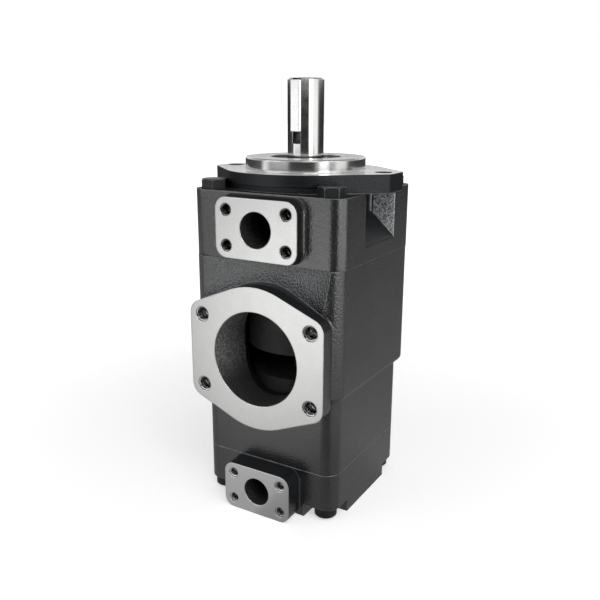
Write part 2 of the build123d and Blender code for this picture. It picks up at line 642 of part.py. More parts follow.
def race_groove():
    """Ring of the balls' path, a little larger than the balls."""
    middle = BEARING_TOP - BEARING_WIDTH / 2
    return Pos(0, 0, middle) * Torus(BALL_PITCH_RADIUS, BALL_RADIUS + RACE_GROOVE_CLEARANCE)


def bearing_outer_race():
    """Race seated in the front cap."""
    race = ring(BALL_PITCH_RADIUS + RACE_SHOULDER, BEARING_OUTER_RADIUS, BEARING_BOTTOM, BEARING_TOP)
    return race - race_groove()


def bearing_inner_race():
    """Race seated on the shaft."""
    race = ring(BEARING_SEAT_RADIUS, BALL_PITCH_RADIUS - RACE_SHOULDER, BEARING_BOTTOM, BEARING_TOP)
    return race - race_groove()


def ball_places():
    """Centres of the balls."""
    middle = BEARING_TOP - BEARING_WIDTH / 2
    return [Pos(*polar(BALL_PITCH_RADIUS, 360 * i / BALL_COUNT), middle) for i in range(BALL_COUNT)]


def bearing_balls():
    """The ring of balls."""
    return Compound([place * Sphere(BALL_RADIUS) for place in ball_places()])


def bearing_cage():
    """Thin ring that keeps the balls apart."""
    middle = BEARING_TOP - BEARING_WIDTH / 2
    cage = ring(BALL_PITCH_RADIUS - CAGE_THICKNESS / 2, BALL_PITCH_RADIUS + CAGE_THICKNESS / 2,
                middle - CAGE_WIDTH / 2, middle + CAGE_WIDTH / 2)
    window = Rot(0, 90, 0) * Cylinder(BALL_RADIUS + RACE_GROOVE_CLEARANCE, 2 * CAGE_THICKNESS)
    for i in range(BALL_COUNT):
        cage -= Rot(0, 0, 360 * i / BALL_COUNT) * Pos(BALL_PITCH_RADIUS, 0, middle) * window
    return cage


def split_ring(inner, outer, low, high, gap_angle, heading):
    """Flat ring with a gap, for a groove."""
    body = ring(inner, outer, low, high)
    half = radians(gap_angle / 2)
    gap = Polyline((0, 0), (2 * outer * cos(half), -2 * outer * sin(half)),
                   (2 * outer * cos(half), 2 * outer * sin(half)), close=True)
    wedge = extrude(Pos(0, 0, low - OVERRUN) * make_face(gap), amount=high - low + 2 * OVERRUN)
    return body - Rot(0, 0, heading) * wedge


def bearing_retaining_ring():
    """Inside circlip above the bearing's outer race."""
    outer = BEARING_OUTER_RADIUS + RETAINER_GROOVE - FIT_ALLOWANCE
    return split_ring(BEARING_OUTER_RADIUS - RETAINER_WIDTH, outer, BEARING_TOP,
                      BEARING_TOP + RETAINER_THICKNESS, RETAINER_GAP_ANGLE, -90)


def shaft_circlip():
    """Outside circlip above the bearing's inner race."""
    inner = BEARING_SEAT_RADIUS - CIRCLIP_GROOVE + FIT_ALLOWANCE
    return split_ring(inner, BEARING_SEAT_RADIUS + CIRCLIP_WIDTH, BEARING_TOP,
                      BEARING_TOP + CIRCLIP_THICKNESS, RETAINER_GAP_ANGLE, 90)


# Shaft


def spline_section(outer_radius, low, high, clearance=0.0):
    """Straight-sided spline: external at zero clearance, a cutter for the hub above it."""
    root = outer_radius - SPLINE_DEPTH
    tooth = SPLINE_TOOTH_SHARE * pi * (outer_radius + root) / SPLINE_TEETH
    reach = outer_radius + clearance
    section = Circle(root + clearance)
    for i in range(SPLINE_TEETH):
        bar = Pos(reach / 2, 0) * Rectangle(reach, tooth + 2 * clearance)
        section += Rot(0, 0, 360 * i / SPLINE_TEETH) * bar
    section = section & Circle(reach)
    return extrude(Pos(0, 0, low) * section, amount=high - low)


def front_spline_radius():
    """The front spline passes through the front journal's bush."""
    return FRONT_JOURNAL_RADIUS - RUNNING_CLEARANCE


def rear_spline_radius():
    """The rear spline passes through the front rotor's spline."""
    return MIDDLE_SHAFT_RADIUS - RUNNING_CLEARANCE


def drive_shaft():
    """One-piece shaft with keyway, bearing seat, seal journal, two splines and two journals."""
    out = chamfer(disc(SHAFT_RADIUS, 0, SHAFT_LENGTH_OUT).edges().group_by(Axis.Z)[-1], SHAFT_CHAMFER)
    shaft = out - keyway() - Pos(0, 0, SHAFT_LENGTH_OUT) * centre_hole()
    shaft += disc(BEARING_SEAT_RADIUS, BEARING_BOTTOM - OVERRUN, BEARING_SEAT_TOP)
    shaft += disc(SEAL_JOURNAL_RADIUS, SEAL_JOURNAL_END, BEARING_BOTTOM)
    shaft += disc(FRONT_JOURNAL_RADIUS, FRONT_CAM_TOP, SEAL_JOURNAL_END + OVERRUN)
    shaft += spline_section(front_spline_radius(), FRONT_CAM_BOTTOM, FRONT_CAM_TOP)
    shaft += disc(MIDDLE_SHAFT_RADIUS, REAR_CAM_TOP, FRONT_CAM_BOTTOM)
    shaft += spline_section(rear_spline_radius(), REAR_CAM_BOTTOM, REAR_CAM_TOP)
    shaft += disc(END_JOURNAL_RADIUS, REAR_CAM_BOTTOM - REAR_BUSH_LENGTH, REAR_CAM_BOTTOM)
    shaft -= ring(BEARING_SEAT_RADIUS - CIRCLIP_GROOVE, BEARING_SEAT_RADIUS + OVERRUN,
                  BEARING_TOP, BEARING_TOP + CIRCLIP_THICKNESS + FIT_ALLOWANCE)
    return shaft


def centre_hole():
    """Lathe centre in the shaft's end: a small drilling under a countersink."""
    from_top = (Align.CENTER, Align.CENTER, Align.MAX)
    sink_depth = (CENTRE_SINK_RADIUS - CENTRE_HOLE_RADIUS) / tan(radians(CENTRE_SINK_ANGLE / 2))
    sink = Cone(CENTRE_HOLE_RADIUS, CENTRE_SINK_RADIUS, sink_depth, align=from_top)
    return sink + Cylinder(CENTRE_HOLE_RADIUS, sink_depth + CENTRE_HOLE_DEPTH, align=from_top)


def keyway():
    """Keyway open at the shaft end, its floor rising out at the inner end as the cutter leaves."""
    floor_y = -(SHAFT_RADIUS - KEYWAY_DEPTH)
    flat_end = SHAFT_LENGTH_OUT - KEYWAY_LENGTH
    slot = Pos(0, floor_y, flat_end) * Box(KEYWAY_WIDTH, SHAFT_RADIUS, KEYWAY_LENGTH + OVERRUN,
                                           align=(Align.CENTER, Align.MAX, Align.MIN))
    cutter = Rot(0, 90, 0) * Cylinder(KEYWAY_RUNOUT_RADIUS, KEYWAY_WIDTH)
    return slot + Pos(0, floor_y - KEYWAY_RUNOUT_RADIUS, flat_end) * cutter


# Pump cartridges


def cam_face(minor, stroke):
    """Inside outline of a cam ring, longest along X."""
    return Ellipse(minor + stroke, minor)


def through_places(outer_radius, rotor_radius, angle):
    """Two opposite points half way between the cam and the ring's outside."""
    radius = (outer_radius + rotor_radius) / 2 + KIDNEY_WIDTH / 2
    return [polar(radius, angle + turn) for turn in (0, 180)]


def kidneys(rotor_radius, heading, low, high):
    """Two opposite curved windows over the space between rotor and cam."""
    cut = None
    for turn in (0, 180):
        start = heading + turn - KIDNEY_SWEEP / 2
        arc = CenterArc((0, 0), rotor_radius + KIDNEY_WIDTH / 2, start, KIDNEY_SWEEP)
        window = extrude(Pos(0, 0, low) * SlotArc(arc, KIDNEY_WIDTH), amount=high - low)
        cut = window if cut is None else cut + window
    return cut


def cam_ring(outer, rotor, minor, stroke, low, high):
    """Stationary ring whose inside pushes the vanes in and out twice a turn."""
    body = disc(outer, low, high)
    body -= extrude(Pos(0, 0, low - OVERRUN) * cam_face(minor, stroke), amount=high - low + 2 * OVERRUN)
    for x, y in through_places(outer, rotor, CARTRIDGE_SCREW_ANGLE):
        body -= disc(CARTRIDGE_SCREW_RADIUS + FIT_ALLOWANCE, low - OVERRUN, high + OVERRUN, x, y)
    for x, y in through_places(outer, rotor, DOWEL_ANGLE):
        body -= disc(DOWEL_RADIUS + FIT_ALLOWANCE, low - OVERRUN, high + OVERRUN, x, y)
    return body


def plate_holes(outer, rotor, low, high, face, inward):
    """Screw and dowel holes of a cartridge plate; inward points from the cam face into the plate."""
    cut = None
    for x, y in through_places(outer, rotor, CARTRIDGE_SCREW_ANGLE):
        hole = disc(CARTRIDGE_SCREW_RADIUS + FIT_ALLOWANCE, low - OVERRUN, high + OVERRUN, x, y)
        cut = hole if cut is None else cut + hole
    for x, y in through_places(outer, rotor, DOWEL_ANGLE):
        span = sorted((face - inward, face + inward * DOWEL_BITE))
        cut += disc(DOWEL_RADIUS + FIT_ALLOWANCE, span[0], span[1], x, y)
    return cut


def cartridge_screws(outer, rotor, head_side, far_side, direction):
    """Two socket screws through the cartridge; direction points from the heads along the shanks."""
    screws = []
    for x, y in through_places(outer, rotor, CARTRIDGE_SCREW_ANGLE):
        head_end = head_side + direction * CARTRIDGE_SCREW_HEAD_HEIGHT
        head = disc(CARTRIDGE_SCREW_HEAD_RADIUS, min(head_side, head_end), max(head_side, head_end))
        key_end = head_side + direction * CARTRIDGE_SCREW_KEY_DEPTH
        key = RegularPolygon(CARTRIDGE_SCREW_KEY / 2, 6, major_radius=False)
        head -= extrude(Pos(0, 0, min(head_side, key_end)) * key, amount=abs(key_end - head_side))
        shank = disc(CARTRIDGE_SCREW_RADIUS, min(head_end, far_side), max(head_end, far_side))
        screws.append(Pos(x, y) * (head + shank))
    return Compound(screws)


def screw_counterbores(outer, rotor, head_side, direction):
    """Counterbores for the cartridge screw heads."""
    cut = None
    for x, y in through_places(outer, rotor, CARTRIDGE_SCREW_ANGLE):
        span = sorted((head_side - direction, head_side + direction * CARTRIDGE_SCREW_HEAD_HEIGHT))
        bore = disc(CARTRIDGE_SCREW_HEAD_RADIUS + FIT_ALLOWANCE, span[0], span[1], x, y)
        cut = bore if cut is None else cut + bore
    return cut


def dowel_pins(outer, rotor, low, high):
    """Two pins that line the plates up with the cam ring."""
    places = through_places(outer, rotor, DOWEL_ANGLE)
    return Compound([disc(DOWEL_RADIUS, low - DOWEL_BITE, high + DOWEL_BITE, x, y) for x, y in places])


def rotor(radius, vane_height, vane_thickness, spline_radius, low, high):
    """Rotor with one radial slot for each vane, each slot ending in a round root."""
    low, high = low + ROTOR_END_CLEARANCE, high - ROTOR_END_CLEARANCE
    root = radius - VANE_REST_INSET - vane_height - SLOT_BOTTOM_GAP
    rim = radius + OVERRUN
    slot = Pos((root + rim) / 2, 0) * Rectangle(rim - root, vane_thickness + 2 * VANE_SIDE_CLEARANCE)
    slot += Pos(root, 0) * Circle(SLOT_ROOT_RADIUS)
    section = Circle(radius)
    for i in range(VANE_COUNT):
        section -= Rot(0, 0, 360 * i / VANE_COUNT) * slot
    body = extrude(Pos(0, 0, low) * section, amount=high - low)
    return body - spline_section(spline_radius, low - OVERRUN, high + OVERRUN, SPLINE_CLEARANCE)


def vane(radius, height, thickness, low, high, index):
    """One flat vane with a rounded tip, drawn in its slot with its tip just inside the rotor's rim."""
    tip = radius - VANE_REST_INSET
    tip_centre = tip - VANE_TIP_RADIUS
    rounding = Pos(tip_centre, 0) * Circle(VANE_TIP_RADIUS)
    rounding += Pos(tip_centre - height / 2, 0) * Rectangle(height, 2 * VANE_TIP_RADIUS)
    outline = Pos(tip - height / 2, 0) * Rectangle(height, thickness) & rounding
    length = high - low - 2 * VANE_END_CLEARANCE
    body = extrude(Pos(0, 0, low + VANE_END_CLEARANCE) * outline, amount=length)
    return Rot(0, 0, 360 * index / VANE_COUNT) * body


def neck_groove(radius, middle):
    """Cutter for the seal ring groove round a pressure plate's neck."""
    half = NECK_RING_GROOVE_WIDTH / 2
    return ring(radius - NECK_RING_GROOVE_DEPTH, radius + OVERRUN, middle - half, middle + half)


def neck_ring(radius, middle):
    """Seal ring round a pressure plate's neck."""
    centre = radius - NECK_RING_GROOVE_DEPTH + NECK_RING_RADIUS + FIT_ALLOWANCE
    return Pos(0, 0, middle) * Torus(centre, NECK_RING_RADIUS)


def front_neck_ring_z():
    """Height of the front neck's seal ring."""
    return (FRONT_NECK_TOP + FRONT_SEAT_FLOOR) / 2


def rear_neck_ring_z():
    """Height of the rear neck's seal ring."""
    return REAR_SEAT_FLOOR - REAR_NECK_LENGTH / 2


def front_pressure_plate():
    """Plate between front rotor and front cap, with a neck that seals in the cap's hub."""
    body = disc(FRONT_CARTRIDGE_RADIUS, FRONT_CAM_TOP, FRONT_SEAM)
    body += disc(FRONT_CARTRIDGE_RADIUS + FRONT_FLANGE_LIP, FRONT_SEAM, FRONT_SEAT_FLOOR)
    body += disc(FRONT_NECK_RADIUS, FRONT_SEAT_FLOOR, FRONT_NECK_TOP)
    bush = FRONT_JOURNAL_RADIUS + RUNNING_CLEARANCE + FRONT_BUSH_WALL
    body -= disc(bush, FRONT_CAM_TOP - OVERRUN, FRONT_NECK_TOP + OVERRUN)
    body -= kidneys(FRONT_ROTOR_RADIUS, KIDNEY_ANGLE, FRONT_CAM_TOP - OVERRUN, FRONT_SEAT_FLOOR + OVERRUN)
    body -= plate_holes(FRONT_CARTRIDGE_RADIUS, FRONT_ROTOR_RADIUS, FRONT_CAM_TOP, FRONT_SEAT_FLOOR,
                        FRONT_CAM_TOP, 1)
    return body - neck_groove(FRONT_NECK_RADIUS, front_neck_ring_z())


def front_suction_plate():
    """Plate on the suction side of the front rotor."""
    low = FRONT_CAM_BOTTOM - FRONT_SUCTION_PLATE
    body = disc(FRONT_CARTRIDGE_RADIUS, low, FRONT_CAM_BOTTOM)
    body -= disc(MIDDLE_SHAFT_RADIUS + PLATE_SHAFT_GAP, low - OVERRUN, FRONT_CAM_BOTTOM + OVERRUN)
    body -= kidneys(FRONT_ROTOR_RADIUS, -KIDNEY_ANGLE, low - OVERRUN, FRONT_CAM_BOTTOM + OVERRUN)
    body -= plate_holes(FRONT_CARTRIDGE_RADIUS, FRONT_ROTOR_RADIUS, low, FRONT_CAM_BOTTOM,
                        FRONT_CAM_BOTTOM, -1)
    return body - screw_counterbores(FRONT_CARTRIDGE_RADIUS, FRONT_ROTOR_RADIUS, low, 1)


def rear_suction_plate():
    """Plate on the suction side of the rear rotor."""
    high = REAR_CAM_TOP + REAR_SUCTION_PLATE
    body = disc(REAR_CARTRIDGE_RADIUS, REAR_CAM_TOP, high)
    body -= disc(MIDDLE_SHAFT_RADIUS + PLATE_SHAFT_GAP, REAR_CAM_TOP - OVERRUN, high + OVERRUN)
    body -= kidneys(REAR_ROTOR_RADIUS, -KIDNEY_ANGLE, REAR_CAM_TOP - OVERRUN, high + OVERRUN)
    body -= plate_holes(REAR_CARTRIDGE_RADIUS, REAR_ROTOR_RADIUS, REAR_CAM_TOP, high, REAR_CAM_TOP, 1)
    return body - screw_counterbores(REAR_CARTRIDGE_RADIUS, REAR_ROTOR_RADIUS, high, -1)


def rear_pressure_plate():
    """Plate between rear rotor and end cap, with a neck that seals in the cap's hub."""
    neck_end = REAR_SEAT_FLOOR - REAR_NECK_LENGTH
    body = disc(REAR_CARTRIDGE_RADIUS, REAR_SEAM, REAR_CAM_BOTTOM)
    body += disc(REAR_CARTRIDGE_RADIUS + REAR_FLANGE_LIP, REAR_SEAT_FLOOR, REAR_SEAM)
    body += disc(REAR_NECK_RADIUS, neck_end, REAR_SEAT_FLOOR)
    bush = END_JOURNAL_RADIUS + RUNNING_CLEARANCE + REAR_BUSH_WALL
    body -= disc(bush, neck_end - OVERRUN, REAR_CAM_BOTTOM + OVERRUN)
    body -= kidneys(REAR_ROTOR_RADIUS, KIDNEY_ANGLE, REAR_SEAT_FLOOR - OVERRUN, REAR_CAM_BOTTOM + OVERRUN)
    body -= plate_holes(REAR_CARTRIDGE_RADIUS, REAR_ROTOR_RADIUS, REAR_SEAT_FLOOR, REAR_CAM_BOTTOM,
                        REAR_CAM_BOTTOM, -1)
    return body - neck_groove(REAR_NECK_RADIUS, rear_neck_ring_z())


def front_plate_bush():
    """Plain bush that carries the shaft in the front pressure plate."""
    inner = FRONT_JOURNAL_RADIUS + RUNNING_CLEARANCE
    high = FRONT_CAM_TOP + FRONT_BUSH_LENGTH
    return ring(inner, inner + FRONT_BUSH_WALL, FRONT_CAM_TOP + ROTOR_END_CLEARANCE, high)


def rear_plate_bush():
    """Plain bush that carries the shaft's end in the rear pressure plate."""
    inner = END_JOURNAL_RADIUS + RUNNING_CLEARANCE
    low = REAR_CAM_BOTTOM - REAR_BUSH_LENGTH
    return ring(inner, inner + REAR_BUSH_WALL, low, REAR_CAM_BOTTOM - ROTOR_END_CLEARANCE)


def front_cartridge():
    """Pieces of the front pump cartridge by node name."""
    size = (FRONT_CARTRIDGE_RADIUS, FRONT_ROTOR_RADIUS)
    low, high = FRONT_CAM_BOTTOM, FRONT_CAM_TOP
    pieces = {
        "front_pressure_plate": front_pressure_plate(),
        "front_cam_ring": cam_ring(*size, FRONT_CAM_MINOR, FRONT_CAM_STROKE, low, high),
        "front_suction_plate": front_suction_plate(),
        "front_plate_bush": front_plate_bush(),
        "front_neck_seal": neck_ring(FRONT_NECK_RADIUS, front_neck_ring_z()),
        "front_cartridge_screws": cartridge_screws(*size, low - FRONT_SUCTION_PLATE,
                                                   FRONT_SEAT_FLOOR - CARTRIDGE_SCREW_INSET, 1),
        "front_dowel_pins": dowel_pins(*size, low, high),
        "front_rotor": rotor(FRONT_ROTOR_RADIUS, FRONT_VANE_HEIGHT, FRONT_VANE_THICKNESS,
                             front_spline_radius(), low, high),
    }
    blade = (FRONT_ROTOR_RADIUS, FRONT_VANE_HEIGHT, FRONT_VANE_THICKNESS, low, high)
    for i in range(VANE_COUNT):
        pieces[f"front_vane_{i + 1:02d}"] = vane(*blade, i)
    return pieces


def rear_cartridge():
    """Pieces of the rear pump cartridge by node name."""
    size = (REAR_CARTRIDGE_RADIUS, REAR_ROTOR_RADIUS)
    low, high = REAR_CAM_BOTTOM, REAR_CAM_TOP
    pieces = {
        "rear_pressure_plate": rear_pressure_plate(),
        "rear_cam_ring": cam_ring(*size, REAR_CAM_MINOR, REAR_CAM_STROKE, low, high),
        "rear_suction_plate": rear_suction_plate(),
        "rear_plate_bush": rear_plate_bush(),
        "rear_neck_seal": neck_ring(REAR_NECK_RADIUS, rear_neck_ring_z()),
        "rear_cartridge_screws": cartridge_screws(*size, high + REAR_SUCTION_PLATE,
                                                  REAR_SEAT_FLOOR + CARTRIDGE_SCREW_INSET, -1),
        "rear_dowel_pins": dowel_pins(*size, low, high),
        "rear_rotor": rotor(REAR_ROTOR_RADIUS, REAR_VANE_HEIGHT, REAR_VANE_THICKNESS,
                            rear_spline_radius(), low, high),
    }
    blade = (REAR_ROTOR_RADIUS, REAR_VANE_HEIGHT, REAR_VANE_THICKNESS, low, high)
    for i in range(VANE_COUNT):
        pieces[f"rear_vane_{i + 1:02d}"] = vane(*blade, i)
    return pieces


def whole_pump():
    """Every sub-part by node name."""
    parts = {
        "front_cap": front_cap(),
        "centre_housing": centre_housing(),
        "end_cap": end_cap(),
        "front_cap_screws": front_cap_screws(),
        "end_cap_screws": end_cap_screws(),
        "front_cap_seal": front_cap_seal(),
        "end_cap_seal": end_cap_seal(),
        "shaft_seal": shaft_seal(),
        "bearing_outer_race": bearing_outer_race(),
        "bearing_inner_race": bearing_inner_race(),
        "bearing_balls": bearing_balls(),
        "bearing_cage": bearing_cage(),
        "bearing_retaining_ring": bearing_retaining_ring(),
        "shaft_circlip": shaft_circlip(),
        "drive_shaft": drive_shaft(),
    }
    parts.update(front_cartridge())
    parts.update(rear_cartridge())
    return parts


os.makedirs("parts", exist_ok=True)
for name, shape in whole_pump().items():
    export_step(shape, f"parts/{name}.step")
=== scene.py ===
"""Looks, lights and camera for an upright double vane pump.

Metres throughout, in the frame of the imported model: origin in the mounting
flange's face on the shaft axis, +Z up the shaft, the three ports face -Y.
Sizes said to be in millimetres are scaled by MM where they are used.
"""

import logging
import math
from dataclasses import dataclass, field
from enum import Enum

import bmesh
import bpy
from mathutils import Matrix, Vector


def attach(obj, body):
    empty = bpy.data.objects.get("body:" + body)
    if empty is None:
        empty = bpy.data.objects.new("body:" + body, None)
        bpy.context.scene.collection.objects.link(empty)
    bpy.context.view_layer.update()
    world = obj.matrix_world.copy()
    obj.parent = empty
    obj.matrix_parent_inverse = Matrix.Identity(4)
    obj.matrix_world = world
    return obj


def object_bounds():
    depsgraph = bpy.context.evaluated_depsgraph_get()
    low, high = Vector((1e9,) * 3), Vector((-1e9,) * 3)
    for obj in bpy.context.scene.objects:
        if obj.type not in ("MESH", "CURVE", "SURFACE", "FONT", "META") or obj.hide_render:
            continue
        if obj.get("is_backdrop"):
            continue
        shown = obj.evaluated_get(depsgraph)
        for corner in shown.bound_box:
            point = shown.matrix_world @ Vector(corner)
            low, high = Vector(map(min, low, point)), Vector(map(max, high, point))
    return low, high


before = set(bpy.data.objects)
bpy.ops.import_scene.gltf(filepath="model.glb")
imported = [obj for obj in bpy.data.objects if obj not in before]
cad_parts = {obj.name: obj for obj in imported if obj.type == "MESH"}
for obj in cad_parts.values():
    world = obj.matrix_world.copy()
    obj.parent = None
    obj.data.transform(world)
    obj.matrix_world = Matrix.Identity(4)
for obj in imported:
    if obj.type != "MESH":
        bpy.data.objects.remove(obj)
log = logging.getLogger("pump")

Node = bpy.types.Node
Tree = bpy.types.NodeTree
Socket = bpy.types.NodeSocket
Object = bpy.types.Object
Material = bpy.types.Material
Value = Socket | float
Tone = tuple[float, float, float]
Place = tuple[float, float, float]
Colour = tuple[float, float, float, float]

MM = 0.001
PUMP = "pump_body"
SHAFT = "drive_shaft"
FLOAT = "NodeSocketFloat"
VECTOR = "NodeSocketVector"
WHITE: Colour = (1, 1, 1, 1)

# Millimetres: how far a face may lie from its plane, how far under a height
# its own face still counts as over it, how deep the bare lip of a hole runs,
# how far masks reach past the walls and the ends of holes, how deep a port's
# bore is looked at, and a Y and height that every piece stays under.
FACE_TOLERANCE = 0.06
LEVEL_TOLERANCE = 0.02
LIP = 0.6
HOLE_CLEARANCE = 0.6
HOLE_RUNOUT = 6.0
BORE_DEPTH = 60.0
PAST_ALL = 100.0


class Marks(Enum):
    """How a cutting tool leaves a bare metal surface."""

    MILLED = "milled"
    TURNED = "turned"
    GROUND = "ground"


@dataclass(frozen=True)
class Port:
    """A four-bolt flange port in a casting's front; millimetres.

    Attributes give the face and height of the port, its bore radius, the
    spans between its screws, the radius, depth and pitch of their threads, and
    the tone of the threads' crests, darkened as painted shade of the holes.
    """

    name: str
    face: float
    height: float
    bore: float
    span_x: float
    span_z: float
    thread: float
    depth: float
    pitch: float
    crest: float


SUCTION = Port("suction", 101.6, -185.0, 50.0, 130.2, 77.8, 8.0, 26.0, 2.0, 0.50)
PRESSURE_1 = Port("pressure_1", 97.3, -53.0, 18.0, 69.9, 35.7, 6.35, 24.0, 1.954, 0.14)
PRESSURE_2 = Port("pressure_2", 101.5, -335.2, 15.25, 58.7, 30.2, 5.55, 22.0, 1.814, 0.60)


def opaque(tone: Tone, factor: float = 1.0, lift: float = 0.0) -> Colour:
    """Opaque colour of a tone, scaled and then lifted, with no part past white."""
    return tuple(min(1.0, part * factor + lift) for part in tone) + (1,)


def grey(value: float) -> Colour:
    """Opaque grey."""
    return (value, value, value, 1)


class Nodes:
    """Short ways to add nodes to a node tree and join them."""

    def __init__(self, tree: Tree) -> None:
        """Keep the tree that nodes are added to."""
        self.tree = tree

    def add(self, kind: str, inputs: dict | None = None, **settings: object) -> Node:
        """Add a node.

        Args:
            kind: The node's Blender type.
            inputs: Values or sockets for its inputs, by name or index.
            settings: Properties of the node.

        Returns:
            The new node.
        """
        node = self.tree.nodes.new(kind)
        for name, value in settings.items():
            setattr(node, name, value)
        for key, value in (inputs or {}).items():
            self.feed(node.inputs[key], value)
        return node

    def feed(self, socket: Socket, value: object) -> None:
        """Link a socket into an input, or set the input's own value.

        Args:
            socket: The input.
            value: A socket, or a value of the input's kind.
        """
        if isinstance(value, Socket):
            self.tree.links.new(value, socket)
        else:
            socket.default_value = value

    def math(self, operation: str, first: Value, *others: Value) -> Socket:
        """Math on one value, or on several that are joined one after the other.

        Args:
            operation: The math node's operation.
            first: A number or a socket.
            others: Further numbers or sockets.

        Returns:
            The result's socket.
        """
        if not others:
            return self.add("ShaderNodeMath", {0: first}, operation=operation).outputs[0]
        for other in others:
            first = self.add("ShaderNodeMath", {0: first, 1: other}, operation=operation).outputs[0]
        return first

    def split(self, vector: Socket) -> tuple[Socket, Socket, Socket]:
        """Three coordinates of a vector."""
        node = self.add("ShaderNodeSeparateXYZ", {0: vector})
        return node.outputs[0], node.outputs[1], node.outputs[2]

    def place(self) -> Socket:
        """Position on the object."""
        return self.add("ShaderNodeTexCoord").outputs["Object"]

    def normal(self) -> tuple[Socket, Socket, Socket]:
        """Three parts of the direction that the surface faces."""
        return self.split(self.add("ShaderNodeNewGeometry").outputs["Normal"])

    def radius(self, vector: Socket) -> Socket:
        """Distance of a place from the shaft's axis."""
        x, y, _ = self.split(vector)
        return self.math("SQRT", self.math("ADD", self.math("MULTIPLY", x, x), self.math("MULTIPLY", y, y)))

    def ramp(self, value: Value, low: float, high: float, start: float = 0.0, end: float = 1.0) -> Socket:
        """Map a value smoothly from one range to another.

        Args:
            value: The value.
            low: The low end of its range.
            high: The high end of its range.
            start: What the low end gives.
            end: What the high end gives.

        Returns:
            The mapped number's socket.
        """
        node = self.add("ShaderNodeMapRange", {0: value, 1: low, 2: high, 3: start, 4: end},
                        interpolation_type="SMOOTHSTEP")
        return node.outputs[0]

    def blend(self, share: Value, first: Socket | Colour, second: Socket | Colour) -> Socket:
        """Mix two colours by a share from 0 to 1.

        Args:
            share: The second colour's share.
            first: The first colour.
            second: The second colour.

        Returns:
            The mixed colour's socket.
        """
        node = self.add("ShaderNodeMix", data_type="RGBA")
        for index, value in ((0, share), (6, first), (7, second)):
            self.feed(node.inputs[index], value)
        return node.outputs[2]

    def between(self, share: Value, first: Value, second: Value) -> Socket:
        """Mix two numbers by a share from 0 to 1.

        Args:
            share: The second number's share.
            first: The first number.
            second: The second number.

        Returns:
            The mixed number's socket.
        """
        node = self.add("ShaderNodeMix", data_type="FLOAT")
        for index, value in ((0, share), (2, first), (3, second)):
            self.feed(node.inputs[index], value)
        return node.outputs[0]

    def noise(self, vector: Socket, scale: Value, detail: float = 3.0, roughness: float = 0.5) -> Socket:
        """Noise value.

        Args:
            vector: The position.
            scale: Features per metre.
            detail: How many finer layers there are.
            roughness: How strong the finer layers are.

        Returns:
            The noise's socket.
        """
        node = self.add("ShaderNodeTexNoise", {"Vector": vector, "Scale": scale, "Detail": detail,
                                               "Roughness": roughness})
        return node.outputs[0]

    def stretched(self, vector: Socket, scale: Place) -> Socket:
        """Scale a vector by axis, for patterns that run along one way."""
        node = self.add("ShaderNodeVectorMath", {0: vector, 1: scale}, operation="MULTIPLY")
        return node.outputs[0]

    def emission(self, strength: Value) -> Socket:
        """White emission of a strength."""
        return self.add("ShaderNodeEmission", {"Color": WHITE, "Strength": strength}).outputs[0]

    def group(self, tree: Tree, **inputs: object) -> Node:
        """Place a node group with its own values.

        Args:
            tree: The group's tree.
            inputs: Values or sockets by input name, an underscore for each space.

        Returns:
            The group's node.
        """
        node = self.add("ShaderNodeGroup", node_tree=tree)
        for name, value in inputs.items():
            self.feed(node.inputs[name.replace("_", " ")], value)
        return node


Group = tuple[Nodes, dict[str, Socket], Node]


def new_group(name: str, inputs: dict[str, str], outputs: dict[str, str]) -> Group:
    """Start a shader node group.

    Args:
        name: The group's name.
        inputs: Socket types by input name.
        outputs: Socket types by output name.

    Returns:
        Its node helper, the input sockets by name, and the output node.
    """
    tree = bpy.data.node_groups.new(name, "ShaderNodeTree")
    for label, kind in inputs.items():
        tree.interface.new_socket(label, in_out="INPUT", socket_type=kind)
    for label, kind in outputs.items():
        tree.interface.new_socket(label, in_out="OUTPUT", socket_type=kind)
    nodes = Nodes(tree)
    source = nodes.add("NodeGroupInput")
    target = nodes.add("NodeGroupOutput")
    return nodes, {label: source.outputs[label] for label in inputs}, target


def new_material(name: str) -> tuple[Material, Nodes]:
    """Start a material: itself and its node helper.

    Args:
        name: The material's name.

    Returns:
        The material and its node helper.
    """
    material = bpy.data.materials.new(name)
    material.use_nodes = True
    return material, Nodes(material.node_tree)


def place_object(name: str, data: bpy.types.ID) -> Object:
    """New object with its data, linked into the scene.

    Args:
        name: The object's name.
        data: Its mesh, lamp or camera.

    Returns:
        The object.
    """
    piece = bpy.data.objects.new(name, data)
    bpy.context.scene.collection.objects.link(piece)
    return piece


